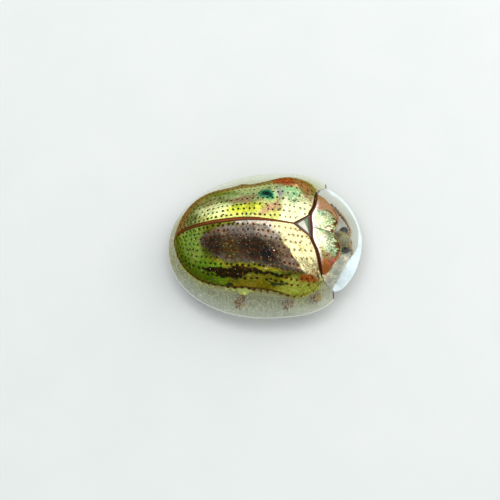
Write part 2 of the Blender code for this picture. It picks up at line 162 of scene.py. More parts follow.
def wing_case_oval(x, y):
    behind = x < WIDEST_X
    reach = np.where(behind, REAR_REACH, FORE_REACH)
    roundness = np.where(behind, REAR_ROUND, FORE_ROUND)
    return (np.abs(x - WIDEST_X) / reach) ** roundness + (np.abs(y) / HALF_WIDTH) ** roundness


def pronotum_oval(x, y):
    reach = np.where(x < PRONOTUM_CORNER_X, PRONOTUM_BACK_REACH, FRONT_X - PRONOTUM_CORNER_X)
    along = (np.abs(x - PRONOTUM_CORNER_X) / reach) ** PRONOTUM_ROUND
    return along + (np.abs(y) / PRONOTUM_HALF_WIDTH) ** PRONOTUM_ROUND


def ray_length(is_past, angle):
    """How far each ray from the apex runs before is_past(x, y) holds, by halving."""
    near = np.full(angle.shape, 0.4)
    far = np.full(angle.shape, 4.0)
    for _ in range(40):
        middle = (near + far) / 2
        past = is_past(APEX_X + middle * np.cos(angle), middle * np.sin(angle))
        near = np.where(past, near, middle)
        far = np.where(past, middle, far)
    return near


def shoulder_x(y):
    return through(np.abs(y), SHOULDER_LINE)


def past_base(x, y):
    """Whether a place is ahead of a wing case's base, which runs along scutellum and pronotum."""
    slant = (SHOULDER_LINE[0][1] - SCUTELLUM_TIP_X) / SCUTELLUM_HALF_WIDTH
    past_scutellum = (x - SCUTELLUM_TIP_X + SEAM > y * slant) & (y < SCUTELLUM_HALF_WIDTH)
    return past_scutellum | (x > shoulder_x(y) - SEAM)


RAYS = np.linspace(0, math.pi, 1441)
WING_CASE_REACH = ray_length(lambda x, y: wing_case_oval(x, y) > 1, RAYS)
PRONOTUM_REACH = ray_length(lambda x, y: pronotum_oval(x, y) > 1, RAYS)
SHIELD_REACH = np.where(
    RAYS < math.radians(60), np.maximum(WING_CASE_REACH, PRONOTUM_REACH), WING_CASE_REACH
)
BASE_REACH = ray_length(past_base, RAYS)
HIND_EDGE_REACH = ray_length(lambda x, y: x > shoulder_x(y) + SEAM, RAYS)


def rim_radius(angle):
    return np.interp(angle, RAYS, SHIELD_REACH)


def margin_width(angle):
    return through(np.degrees(angle), MARGIN_WIDTHS)


def disc_radius(angle):
    return rim_radius(angle) - margin_width(angle)


def polar(x, y):
    return np.hypot(x - APEX_X, y), np.abs(np.arctan2(y, x - APEX_X))


def raised(x, y, place):
    centre_x, centre_y, height, spread = place
    return height * np.exp(-((x - centre_x) ** 2 + (np.abs(y) - centre_y) ** 2) / (2 * spread**2))


def crisp_top(radius, angle):
    """Height of dome and margin over the rim, with the crease between them not yet eased."""
    margin = margin_width(angle)
    disc = rim_radius(angle) - margin
    edge = DISC_EDGE_RISE + (TAIL_EDGE_RISE - DISC_EDGE_RISE) * ease(2.5, math.pi, angle)
    side = ease(math.radians(15), math.radians(75), angle)
    power = FORE_DOME[0] + side * (REAR_DOME[0] - FORE_DOME[0])
    outer = FORE_DOME[1] + side * (REAR_DOME[1] - FORE_DOME[1])
    share = np.clip(radius / disc, 0, 1)
    dome = edge + (DOME_RISE - edge) * (1 - share**power) ** outer
    flange = edge * (1 - np.clip((radius - disc) / margin, 0, 1))
    return np.where(radius < disc, dome, flange)


def shield_top(x, y):
    """Height of the shield's smooth upper face above the floor."""
    radius, angle = polar(x, y)
    reach = CREASE_EASE * (1 - ease(0.0, 0.35, np.abs(radius - disc_radius(angle))))
    shares = (-1.0, -0.5, 0.0, 0.5, 1.0)
    top = sum(crisp_top(radius + reach * share, angle) for share in shares) / len(shares)
    bumps = sum(raised(x, y, place) for place in (HUMERAL_CALLUS, SIDE_LOBE, PRONOTUM_SWELL))
    fade = ease(0.0, 0.4, (rim_radius(angle) - radius) / margin_width(angle))
    return RIM_LEVEL + top + bumps * fade


def shield_wall(x, y):
    """Thickness of the skin: thin in the clear margin."""
    radius, angle = polar(x, y)
    across = (radius - disc_radius(angle)) / margin_width(angle)
    return DISC_WALL + (MARGIN_WALL - DISC_WALL) * ease(-0.2, 0.3, across)


# Meshes

# Points closer than this are one, in millimetres, and edges sharper than this look sharp
WELD = 2e-5
SHARP_ANGLE = math.radians(50)


def surface_noise(x, y, scale, offset):
    places = zip(x.ravel(), y.ravel())
    values = [noise.noise(Vector((a * scale + offset, b * scale - offset, offset))) for a, b in places]
    return np.array(values).reshape(x.shape)


def new_piece(name, mesh, materials):
    """A visible piece. It stands for the node that its name gives without the word skin."""
    piece = bpy.data.objects.new(name, mesh)
    bpy.context.scene.collection.objects.link(piece)
    for material in materials:
        mesh.materials.append(material)
    replaced = [name.replace("_skin", "")]
    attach(piece, "root")
    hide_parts(*replaced)
    return piece


def grid_sheet(name, x, y, top, bottom, masks):
    """A closed sheet over a grid of places. x, y, top and bottom are arrays of one shape."""
    rows, columns = x.shape
    count = rows * columns
    flat_x, flat_y = x.ravel(), y.ravel()
    upper = np.c_[flat_x, flat_y, top.ravel()]
    lower = np.c_[flat_x, flat_y, bottom.ravel()]
    index = np.arange(count).reshape(rows, columns)
    a, b = index[:-1, :-1].ravel(), index[:-1, 1:].ravel()
    c, d = index[1:, 1:].ravel(), index[1:, :-1].ravel()
    over = np.c_[a, b, c, d]
    under = np.c_[d, c, b, a] + count
    loop = np.concatenate([index[0, :], index[1:, -1], index[-1, -2::-1], index[-2:0:-1, 0]])
    following = np.roll(loop, -1)
    walls = np.c_[following, loop, loop + count, following + count]
    faces = np.concatenate([over, under, walls]).tolist()
    mesh = bpy.data.meshes.new(name)
    mesh.from_pydata(np.concatenate([upper, lower]).tolist(), [], faces)
    for mask, values in masks.items():
        layer = mesh.attributes.new(mask, "FLOAT", "POINT")
        layer.data.foreach_set("value", np.concatenate([values.ravel()] * 2).astype(np.float32))
    under_layer = mesh.attributes.new("under", "FLOAT", "POINT")
    under_layer.data.foreach_set("value", np.repeat([0.0, 1.0], count).astype(np.float32))
    bm = bmesh.new()
    bm.from_mesh(mesh)
    bmesh.ops.remove_doubles(bm, verts=bm.verts, dist=WELD)
    bmesh.ops.recalc_face_normals(bm, faces=bm.faces)
    bm.to_mesh(mesh)
    bm.free()
    mesh.transform(Matrix.Scale(MM, 4))
    mesh.shade_smooth()
    mesh.set_sharp_from_angle(angle=SHARP_ANGLE)
    return mesh


def part_by_mask(mesh, mask, limit=0.02):
    """Gives the faces where a mask is high the second material."""
    values = np.zeros(len(mesh.vertices), np.float32)
    mesh.attributes[mask].data.foreach_get("value", values)
    for polygon in mesh.polygons:
        if values[list(polygon.vertices)].mean() > limit:
            polygon.material_index = 1


def pits_relief(x, y, pits):
    """Depth and colour of the pits at each place. pits is rows of x, y, radius, depth."""
    depth = np.zeros(x.shape)
    stain = np.zeros(x.shape)
    flat_x, flat_y, flat_z = x.ravel(), y.ravel(), shield_top(x, y).ravel()
    pit_z = shield_top(np.array([pit[0] for pit in pits]), np.array([pit[1] for pit in pits]))
    for (pit_x, pit_y, radius, deep), level in zip(pits, pit_z):
        near = np.nonzero(
            (np.abs(flat_x - pit_x) < radius * 1.3) & (np.abs(flat_y - pit_y) < radius * 1.3)
        )[0]
        across = np.hypot(flat_x[near] - pit_x, flat_y[near] - pit_y)
        share = np.hypot(across, flat_z[near] - level) / radius
        bowl = 1 - ease(0.35, 1.15, share)
        depth.ravel()[near] = np.maximum(depth.ravel()[near], deep * bowl)
        stain.ravel()[near] = np.maximum(stain.ravel()[near], 1 - ease(0.7, 1.1, share))
    return depth, stain


# Marks

WOBBLE = 0.03


def wobble(x, y, seed):
    """Shifts places a little, so that the edges of marks waver."""
    return WOBBLE * (
        np.sin(5.1 * x + 3.3 * y + seed)
        + 0.6 * np.sin(9.7 * x - 8.3 * y + 2.3 * seed)
        + 0.4 * np.sin(19.0 * x + 14.0 * y + 4.1 * seed)
    )


def blob(x, y, centre_x, centre_y, length, width, turn, soft):
    """An oval mark, 1 inside and 0 outside, with a soft edge."""
    c, s = math.cos(math.radians(turn)), math.sin(math.radians(turn))
    along = (x - centre_x) * c + (y - centre_y) * s
    across = -(x - centre_x) * s + (y - centre_y) * c
    share = np.hypot(along / length, across / width)
    return 1 - ease(1 - soft, 1 + soft, share)


def between(x, y, near, far, soft):
    """A mark between two curves, each through (x, y) stations, from their first x to their last."""
    inside = np.minimum(y - through(x, near), through(x, far) - y)
    rear = ease(near[0][0] - soft, near[0][0] + soft, x)
    front = ease(near[-1][0] + soft, near[-1][0] - soft, x)
    return ease(-soft, soft, inside) * rear * front


def ahead_of(x, y, slope, start, soft):
    """All that lies ahead of a slanting line, which crosses the suture at start."""
    return ease(-soft, soft, (x - slope * y - start) / math.hypot(1, slope))


def edge_length(angle):
    """Length along the disc's edge up to each angle, for what repeats along it."""
    reach = disc_radius(RAYS)
    x, y = APEX_X + reach * np.cos(RAYS), reach * np.sin(RAYS)
    length = np.concatenate([[0], np.cumsum(np.hypot(np.diff(x), np.diff(y)))])
    return np.interp(angle, RAYS, length)


def disc_half_width(x):
    """Distance from the suture to the disc's edge at each place along the body."""
    reach = disc_radius(RAYS)
    edge_x, edge_y = APEX_X + reach * np.cos(RAYS), reach * np.sin(RAYS)
    order = np.argsort(edge_x)
    keep = RAYS[order] > math.radians(HUMERAL_ANGLE - 3)
    return np.interp(x, edge_x[order][keep], edge_y[order][keep])


def at(function, *numbers):
    """What a function of arrays gives at one place."""
    return float(function(*(np.array([number]) for number in numbers))[0])


def wing_case_pits(side):
    """Rows of pits from the tail to the base, closer and finer at the tail, with lost and doubled ones."""
    pits = []
    rear = APEX_X - at(disc_radius, math.pi)
    for row, share in enumerate(PIT_ROWS):
        x = rear + 0.1 + 0.05 * (row % 3)
        while x < 2.1:
            y = share * at(disc_half_width, x) + LUCK.gauss(0, 0.01)
            if not at(past_base, x + 0.08, y):
                coarse = 1.0 + 0.15 * (share > 0.7) + 0.22 * (share > 0.82) + LUCK.gauss(0, 0.08)
                if LUCK.random() > 0.07:
                    pits.append((x, side * y, PIT_RADIUS * coarse, PIT_DEPTH * coarse))
                if LUCK.random() < 0.05 + 0.25 * (x > 0.9):
                    aside = y + LUCK.choice((-1, 1)) * 0.055
                    pits.append((x + 0.05, side * aside, PIT_RADIUS * 0.8, PIT_DEPTH * 0.7))
            x += PIT_STEP * LUCK.uniform(0.8, 1.25) * (0.8 if x < -2.3 else 1.0)
    total = at(edge_length, math.pi)
    start = at(edge_length, math.radians(HUMERAL_ANGLE + 1))
    lengths = edge_length(RAYS)
    for place in np.arange(start, total - 0.1, EDGE_PIT_STEP):
        angle = float(np.interp(place + LUCK.gauss(0, 0.012), lengths, RAYS))
        radius = at(disc_radius, angle) + 0.015
        size = 1.0 if angle < 2.5 else 0.7
        x, y = APEX_X + radius * math.cos(angle), radius * math.sin(angle)
        pits.append((x, side * y, EDGE_PIT_RADIUS * size, EDGE_PIT_DEPTH * size))
    return pits


# Edges of the cloud on the right wing case: a darker patch of the cuticle that is in part a painted dark
# reflection
CLOUD_NEAR = (
    (-2.0, 0.51), (-1.8, 0.32), (-1.4, 0.22), (-0.7, 0.2),
    (0.0, 0.2), (0.5, 0.52), (0.95, 1.06), (1.25, 1.58),
)
CLOUD_FAR = ((-2.0, 0.53), (-1.5, 1.04), (-1.0, 1.25), (0.0, 1.4), (0.8, 1.62), (1.25, 1.64))
BAND_NEAR = ((-1.95, 1.28), (-1.5, 1.37), (-0.9, 1.37), (-0.2, 1.53), (0.45, 1.64), (0.85, 1.71))
BAND_FAR = ((-1.95, 1.31), (-1.5, 1.54), (-1.0, 1.62), (-0.3, 1.61), (0.45, 1.7), (0.85, 1.75))
STREAK_NEAR = ((-1.6, 1.1), (-1.0, 1.3), (0.0, 1.44), (0.7, 1.58))
STREAK_FAR = ((-1.6, 1.18), (-1.0, 1.35), (0.0, 1.52), (0.7, 1.61))
# Edges of the painted sunlit strip along the lower side of the right wing case
LOWER_NEAR = ((-1.3, 1.68), (-0.6, 1.68), (0.0, 1.66), (0.9, 1.78), (1.7, 1.8))
LOWER_FAR = ((-1.3, 1.8), (-0.6, 1.95), (0.0, 2.0), (0.9, 2.2), (1.7, 2.2))


def right_marks(u, v, edge_share):
    """Colour and place of each mark of the right wing case, in the order in which they cover it.

    u and v are x and the distance from the suture, and edge_share runs from 0 to 1 at the disc's edge.
    """
    fore = ahead_of(u, v, 0.62, 0.28, 0.13)
    spot = partial(blob, u, v)
    deep = np.maximum(spot(-0.05, 0.98, 0.8, 0.36, 18, 0.7), spot(-1.5, 0.72, 0.38, 0.27, 35, 0.6))
    dash = np.maximum(spot(0.42, 1.86, 0.28, 0.03, 12, 0.8), spot(-1.12, 1.74, 0.16, 0.04, 5, 0.8))
    # Painted highlight along the suture's near side
    painted_highlight = ease(0.4, 0.1, v - 0.25 * (u + 0.3))
    return {
        "rear": ((0.29, 0.39, 0.06), ease(-1.65, -2.15, u)),
        # A painted sunlit strip along the lower side
        "lower": ((0.21, 0.165, 0.008), between(u, v, LOWER_NEAR, LOWER_FAR, 0.1)),
        "green": ((0.165, 0.3, 0.012), spot(-1.8, 1.48, 0.62, 0.4, 20, 0.6)),
        "shade": ((0.07, 0.12, 0.005), 0.8 * edge_share * ease(-0.9, -1.7, u)),
        # Painted highlight beside the suture
        "painted_highlight": ((0.56, 0.48, 0.4), painted_highlight * (u > -1.6) * ease(-1.6, -0.2, u)),
        # The cream front third is a painted highlight
        "fore": ((0.78, 0.69, 0.37), fore * ease(1.8, 1.4, v)),
        "glow": ((0.37, 0.39, 0.05), spot(1.1, 1.95, 0.8, 0.2, -8, 0.7)),
        # cloud, mist, deep and olive: a darker patch of the cuticle, in part a painted dark reflection of
        # the surroundings
        "cloud": ((0.13, 0.098, 0.068), between(u, v, CLOUD_NEAR, CLOUD_FAR, 0.1)),
        "mist": ((0.22, 0.19, 0.16), 0.9 * spot(-0.15, 0.44, 0.85, 0.2, 8, 0.8)),
        "deep": ((0.036, 0.024, 0.014), 0.92 * deep),
        "olive": ((0.085, 0.062, 0.018), spot(-1.02, 0.88, 0.24, 0.34, -40, 0.8)),
        "streak": ((0.23, 0.19, 0.01), between(u, v, STREAK_NEAR, STREAK_FAR, 0.06)),
        "band": ((0.022, 0.011, 0.001), between(u, v, BAND_NEAR, BAND_FAR, 0.05)),
        "teal": ((0.009, 0.017, 0.022), 0.9 * spot(0.12, 1.07, 0.19, 0.14, 0, 0.9)),
        "dash": ((0.003, 0.03, 0.014), 0.8 * dash),
        "rust": ((0.38, 0.09, 0.012), 0.9 * spot(1.38, 1.72, 0.27, 0.12, -24, 0.8)),
        "flush": ((0.3, 0.1, 0.02), 0.5 * spot(1.62, 1.42, 0.16, 0.4, 10, 0.9)),
    }


def left_marks(u, v, edge_share):
    """The same for the left wing case, which the light in the photograph turned yellower."""
    spot = partial(blob, u, v)
    bronze = np.maximum(
        spot(-0.46, 0.8, 0.6, 0.12, 6, 0.7), spot(0.42, 0.56, 0.6, 0.15, 42, 0.7)
    )
    return {
        "rear": ((0.2, 0.24, 0.055), ease(-1.7, -2.4, u)),
        "inner": ((0.56, 0.56, 0.15), ease(0.52, 0.2, v) * ease(-2.4, -1.6, u)),
        "cream": ((0.82, 0.84, 0.36), spot(-1.52, 0.46, 0.62, 0.24, -3, 0.6)),
        "leafy": ((0.62, 0.7, 0.3), spot(-0.05, 1.12, 1.2, 0.34, 4, 0.8)),
        "fern": ((0.22, 0.32, 0.07), 0.85 * spot(-1.4, 1.13, 0.8, 0.15, -3, 0.8)),
        "bronze": ((0.44, 0.28, 0.14), bronze),
        "yellow": ((0.52, 0.54, 0.045), spot(-0.52, 0.4, 0.56, 0.19, 6, 0.5)),
        # The cream front is a painted highlight
        "fore": ((0.92, 0.88, 0.5), ahead_of(u, v, 0.25, 0.52, 0.16) * ease(1.45, 1.1, v)),
        "lilac": ((0.3, 0.23, 0.27), 0.8 * spot(0.64, 1.1, 0.2, 0.2, 0, 0.9)),
        "mint": ((0.14, 0.31, 0.155), 0.68 * spot(1.02, 1.12, 0.46, 0.42, 25, 0.9)),
        "flush": ((0.36, 0.15, 0.06), 0.6 * spot(1.52, 1.35, 0.18, 0.42, 10, 0.9)),
        "rust": ((0.5, 0.23, 0.09), spot(1.0, 1.72, 0.66, 0.32, -8, 0.6)),
        "ember": ((0.54, 0.11, 0.04), 0.9 * spot(0.72, 1.66, 0.34, 0.26, -4, 0.7)),
        "halo": ((0.42, 0.56, 0.18), 0.7 * spot(0.18, 0.95, 0.38, 0.3, 5, 0.8)),
        "teal": ((0.02, 0.25, 0.14), spot(0.18, 0.95, 0.25, 0.22, 5, 0.7)),
        "pupil": ((0.004, 0.02, 0.016), 0.95 * spot(0.2, 0.94, 0.15, 0.11, 5, 0.9)),
        "copper": ((0.34, 0.19, 0.08), 0.95 * edge_share * ease(1.0, 0.3, u)),
    }


def wing_case_masks(x, y, radius, angle, stain, marks):
    """Where marks, lines, pits and the clear margin of a wing case lie."""
    across = np.abs(y)
    edge = disc_radius(angle)
    repeats = edge_length(angle) / EDGE_PIT_STEP
    uneven = 0.55 + 0.45 * np.sin(2.3 * repeats) * np.sin(0.9 * repeats + 1.0)
    teeth = 0.085 * uneven * np.abs(np.cos(math.pi * (repeats + 0.1 * np.sin(7.0 * repeats)))) ** 2
    lobe = 0.15 * np.exp(-(((angle - polar(*SIDE_LOBE[:2])[1]) / 0.085) ** 2))
    beyond = radius - edge - 0.01
    clear = ease(-0.005, 0.025, beyond - teeth - lobe)
    fore_half = ease(math.radians(92), math.radians(84), angle)
    line_reach = 0.004 + teeth * fore_half
    edge_line = ease(-0.042, -0.018, beyond) * ease(0.014, -0.004, beyond - line_reach)
    edge_line = edge_line * ease(math.radians(48), math.radians(66), angle)
    fringe = ease(-0.02, 0.02, beyond - line_reach)
    out = (radius - edge) / margin_width(angle)
    suture_width = 0.024 + 0.036 * ease(1.0, -0.8, x)
    suture = ease(suture_width + 0.014, suture_width - 0.006, across)
    base = np.interp(angle, RAYS, BASE_REACH) - radius
    base_line = ease(0.075, 0.045, base) * (angle < math.radians(HUMERAL_ANGLE))
    spokes = ease(0.9, 0.99, np.abs(np.cos(math.pi * (repeats + 0.1 * np.sin(9 * angle)))))
    right = "cloud" in marks
    far_half = ease(1.15, 1.45, across)
    near_shoulder = ease(0.5, 0.8, x) * ease(1.3, 1.6, across)
    fore = marks["fore"][1]
    ruddy = np.maximum(np.maximum(marks["cloud"][1], near_shoulder), fore) if right else far_half
    masks = {
        "clear": clear,
        "rim": ease(0.03, 0.01, rim_radius(angle) - radius),
        # Pits are painted fainter under the painted highlight of the front
        "stain": stain * (1 - (0.4 if right else 0.3) * fore),
        "out": np.clip(out, 0, 1),
        "tail": ease(math.radians(140), math.radians(172), angle),
        "spokes": spokes * ease(0.45, 0.05, out) * (out > 0),
        "turn": angle,
        "length": radius,
        "line": np.maximum(suture * (1 - 0.6 * clear), base_line),
        "edge_line": edge_line,
        "fringe": fringe,
        "core": ease(0.62 * suture_width, 0.25 * suture_width, across),
        # warm lies under the painted highlight of the front and, on the right, under the cloud's painted
        # dark reflection
        "warm": np.maximum(0.9 * fore, marks["cloud"][1]) if right else 0.3 * fore,
        "ruddy": ruddy,
    }
    masks.update({name: mask for name, (_, mask) in marks.items()})
    return masks


# How far the colours of the disc's edge reach inwards
LEFT_EDGE_REACH = 0.85
RIGHT_EDGE_REACH = 0.5


def wing_case_skin(side, base_colour, marks_of, margin):
    word = SIDE_WORDS[side]
    name = f"wing_case_skin_{word}"
    humeral = math.radians(HUMERAL_ANGLE)
    ahead = round(RAYS_IN_SKIN * 0.27)
    before = np.linspace(0, humeral - 1e-4, ahead)
    behind = np.linspace(humeral + 1e-4, math.pi, RAYS_IN_SKIN - ahead)
    angles = np.concatenate([before, behind])
    rim = np.interp(angles, RAYS, WING_CASE_REACH)
    base = np.interp(angles, RAYS, BASE_REACH)
    rim = np.where(angles < humeral, np.minimum(rim, base), rim)
    disc = np.minimum(disc_radius(angles), 0.92 * rim)
    inner = np.linspace(0, 1, DISC_RINGS + 1)[:, None] ** 0.8
    outer = np.linspace(0, 1, MARGIN_RINGS + 1)[1:, None]
    radius = np.concatenate([inner * disc, disc + outer * (rim - disc)])
    angle = np.broadcast_to(angles, radius.shape)
    x = APEX_X + radius * np.cos(angle)
    y = side * (np.maximum(radius * np.sin(angle), 0) + SEAM / 2)
    depth, stain = pits_relief(x, y, wing_case_pits(side))
    edge_reach = LEFT_EDGE_REACH if side > 0 else RIGHT_EDGE_REACH
    edge_share = ease(edge_reach, 0.1 * edge_reach, disc_radius(angle) - radius)
    marks = marks_of(x + wobble(x, y, 1.0), np.abs(y) + wobble(x, y, 2.0), edge_share)
    masks = wing_case_masks(x, y, radius, angle, stain, marks)
    rim_bead = 0.012 * ease(0.05, 0.0, rim_radius(angle) - radius)
    creases = 0.004 * surface_noise(x, y, 3.0, 5.0) * (1 - masks["clear"])
    top = shield_top(x, y)
    upper = top - depth + LINE_RISE * masks["line"] + rim_bead + creases
    mesh = grid_sheet(name, x, y, upper, top - shield_wall(x, y), masks)
    part_by_mask(mesh, "clear")
    layers = [(mark, colour) for mark, (colour, _) in marks.items()]
    graze = BRONZE_GRAZE if side > 0 else GOLD_GRAZE
    gold = gold_material(f"gold_cuticle_{word}", base_colour, layers, graze)
    return new_piece(name, mesh, [gold, margin])


# Reach of the pronotum's gold from the apex, and width of the painted white glare on its rim, at angles
# from straight ahead, and the distance from the middle at which its rust begins
PRONOTUM_GOLD_EDGE = (
    (-4, 2.9), (0, 2.78), (4, 2.9), (8, 3.0), (11, 3.06),
    (15, 3.03), (22, 2.93), (31, 2.8), (35, 2.64),
)
PRONOTUM_GLARE = (
    (-35, 0.24), (-30, 0.3), (-22, 0.38), (-15, 0.34), (-8, 0.19),
    (0, 0.12), (12, 0.13), (22, 0.24), (35, 0.3),
)
RUST_RIGHT = ((1.6, 0.7), (1.84, 0.92), (2.16, 0.95), (2.46, 0.76), (2.7, 0.5))
RUST_LEFT = ((1.6, 0.82), (1.89, 0.72), (2.27, 0.68), (2.49, 0.36), (2.7, 0.2))
PRONOTUM_SPOTS = 130
PRONOTUM_RAYS = 300
PRONOTUM_DISC_RINGS = 70
PRONOTUM_MARGIN_RINGS = 50


def pronotum_skin(materials):
    corner = math.radians(PRONOTUM_CORNER_ANGLE)
    turns = np.linspace(-corner, corner, PRONOTUM_RAYS)
    angles = np.abs(turns)
    back = np.interp(angles, RAYS, HIND_EDGE_REACH)
    rim = np.interp(angles, RAYS, PRONOTUM_REACH)
    disc = disc_radius(angles)
    disc = np.clip(disc, back + 0.2 * (rim - back), rim - 0.2 * (rim - back))
    inner = np.linspace(0, 1, PRONOTUM_DISC_RINGS + 1)[:, None]
    outer = np.linspace(0, 1, PRONOTUM_MARGIN_RINGS + 1)[1:, None]
    radius = np.concatenate([back + inner * (disc - back), disc + outer * (rim - disc)])
    turn = np.broadcast_to(turns, radius.shape)
    angle = np.abs(turn)
    x, y = APEX_X + radius * np.cos(turn), radius * np.sin(turn)
    across = np.abs(y)
    u, v = x + wobble(x, y, 3.0), across + wobble(x, y, 4.0)
    hind = radius - np.interp(angle, RAYS, HIND_EDGE_REACH)
    gold_edge = through(np.degrees(angle), PRONOTUM_GOLD_EDGE)
    beyond = radius - gold_edge
    clear = ease(0.0, 0.03, beyond)
    from_rim = rim_radius(angle) - radius
    glare_width = through(np.degrees(turn), PRONOTUM_GLARE)
    front_line = ease(0.035, 0.012, np.abs(beyond + 0.05)) * ease(1.0, 0.8, across)
    eyes = blob(x, across, 2.7, 0.36, 0.24, 0.2, 0, 0.3)
    masks = {
        "clear": clear,
        "rust_right": (y < 0) * ease(-0.03, 0.03, v - through(u, RUST_RIGHT)),
        "rust_left": (y > 0) * ease(-0.03, 0.03, v - through(u, RUST_LEFT)),
        "line": np.maximum(
            ease(0.085, 0.05, hind) * ease(2.05, 1.6, across) ** 0.2, 0.7 * front_line
        ),
        "mid_line": ease(0.02, 0.006, across) * ease(0.05, 0.15, hind) * (1 - clear),
        "rim": ease(0.05, 0.015, from_rim),
        # Painted white glare along the clear rim
        "painted_glare": ease(1.2, 0.65 - 0.65 * ease(0.0, 0.6, y), from_rim / glare_width),
        "haze": ease(0.75, 0.1, from_rim) * ease(0.3, -0.9, y),
        "mottled": ease(-0.55, -0.85, y) * ease(0.6, 0.25, beyond),
        "brow": blob(x, y, 2.6, -0.05, 0.32, 0.5, 0, 0.5) * (1 - eyes),
        "cream": blob(x, across, 1.98, 0.0, 0.48, 0.72, 0, 0.3),
        "mint": 0.8 * blob(u, y, 2.2, -0.66, 0.3, 0.2, -30, 0.9)
        + 0.8 * blob(u, y, 1.95, 0.58, 0.24, 0.12, -40, 0.9),
        # Painted violet sheen on the right rust
        "violet": 0.55 * blob(u, y, 2.13, -1.02, 0.2, 0.11, -60, 0.9),
        "streaks": ease(0.5, 0.08, -beyond) * ease(1.0, 0.7, across),
        # Painted highlight just in front of the pronotum's hind edge
        "painted_highlight": ease(0.2, 0.09, hind) * ease(0.04, 0.09, hind) * ease(1.3, 0.6, across),
        "turn": turn,
        "length": radius,
    }
    spots = [
        (LUCK.uniform(1.7, 2.45), LUCK.uniform(-1.2, 1.2), LUCK.uniform(0.015, 0.024), 0.008)
        for _ in range(PRONOTUM_SPOTS)
    ]
    depth, stain = pits_relief(x, y, spots)
    masks["stain"] = stain * (1 - clear) * 0.6
    relief = LINE_RISE * masks["line"] * (hind < 0.1) - 0.01 * masks["mid_line"]
    relief = relief + 0.016 * surface_noise(x * 0.8, y, 3.2, 9.0) * (1 - clear) + 0.018 * masks["rim"]
    top = shield_top(x, y)
    mesh = grid_sheet("pronotum_skin", x, y, top + relief - depth, top - shield_wall(x, y), masks)
    part_by_mask(mesh, "clear")
    return new_piece("pronotum_skin", mesh, materials)


def scutellum_skin(material):
    along = np.linspace(0, 1, 50)[:, None]
    aside = np.linspace(-1, 1, 61)[None, :]
    tip, front = SCUTELLUM_TIP_X + 0.012, SHOULDER_LINE[0][1] - 0.008
    x = tip + (front - tip) * along + 0 * aside
    y = (SCUTELLUM_HALF_WIDTH - 0.008) * (0.015 + 0.985 * along) * aside
    rim = np.minimum((1 - np.abs(aside)) * SCUTELLUM_HALF_WIDTH * along, (front - x))
    line = ease(0.075, 0.048, rim)
    top = shield_top(x, y) + 0.03 * ease(0.0, 0.1, rim) + 0.005
    lean = x - SCUTELLUM_TIP_X + 0.15 * y / SCUTELLUM_HALF_WIDTH
    # A painted dark reflection over one part of the scutellum
    masks = {"line": line, "painted_dark_reflection": ease(0.3, 0.42, lean)}
    mesh = grid_sheet("scutellum_skin", x, y, top, top - DISC_WALL, masks)
    return new_piece("scutellum_skin", mesh, [material])


# Trunk

TRUNK_HALF_WIDTH = 1.6
TRUNK_ROUND = 2.3
TRUNK_REAR_X = -2.68
TRUNK_MIDDLE_X = 0.1
TRUNK_FRONT_X = 2.75
BELLY_LEVEL = 0.68
BELLY_SIDE_RISE = 0.3
WAIST_X = -0.45
THORAX_FRONT_X = 1.52
PROTHORAX_FRONT_X = 2.16
STERNITE_SHARES = (0.3, 0.2, 0.17, 0.15, 0.18)
THORAX_CREASES = (0.0, 0.76)
PLATE_RISE = 0.03
TRUNK_ROWS = 150
TRUNK_COLUMNS = 141


def trunk_half_width(x):
    reach = np.where(x < TRUNK_MIDDLE_X, TRUNK_MIDDLE_X - TRUNK_REAR_X, TRUNK_FRONT_X - TRUNK_MIDDLE_X)
    share = np.clip(np.abs(x - TRUNK_MIDDLE_X) / reach, 0, 1)
    return TRUNK_HALF_WIDTH * (1 - share**TRUNK_ROUND) ** (1 / TRUNK_ROUND)


def sternite_seams():
    length = WAIST_X - TRUNK_REAR_X
    return [WAIST_X - length * share for share in np.cumsum(STERNITE_SHARES)[:-1]]


def trunk_skin(name, rear, front, seams, creases, material):
    """The underside of one part of the trunk, with overlapping plates, and a plain back above it.

    seams is where a plate ends, and creases is where one runs lengthwise, as shares of the half width.
    """
    along = np.linspace(0, 1, TRUNK_ROWS)[:, None]
    aside = np.linspace(-1, 1, TRUNK_COLUMNS)[None, :]
    x = rear + (front - rear) * along + 0 * aside
    half = trunk_half_width(x)
    y = half * np.sin(aside * math.pi / 2)
    share = np.abs(y) / np.maximum(half, 0.05)
    level = BELLY_LEVEL + BELLY_SIDE_RISE * share**3
    curve = 0.1 * share**2
    plate_line = np.zeros(x.shape)
    for seam in seams:
        behind = seam - curve - x
        level = level + PLATE_RISE * np.exp(-np.clip(behind, 0, None) / 0.1) * (behind > 0)
        plate_line = np.maximum(plate_line, ease(0.03, 0.005, np.abs(behind)))
    for place in creases:
        crease = np.exp(-((((share - place) * half) / 0.026) ** 2))
        level = level + 0.024 * crease
        plate_line = np.maximum(plate_line, 0.55 * crease * (place > 0))
    level = level + PLATE_RISE * (ease(0.05, 0.0, front - x) + ease(0.05, 0.0, x - rear))
    level = level + 0.01 * surface_noise(x, y, 14.0, 3.0)
    over = shield_top(x, y) - 0.24 - 0.34 * (1 - share**2)
    bottom = np.minimum(level, over - 0.06)
    mesh = grid_sheet(name, x, y, over, bottom, {"plate_line": plate_line, "side": share})
    return new_piece(name, mesh, [material])


# Limbs and head


def point_along(points, share):
    """The place at a share of the way along a smooth line through points."""
    places = np.linspace(0, 1, len(points))
    rows = [list(zip(places, [point[axis] for point in points])) for axis in range(3)]
    return Vector([float(through(share, row)) for row in rows])


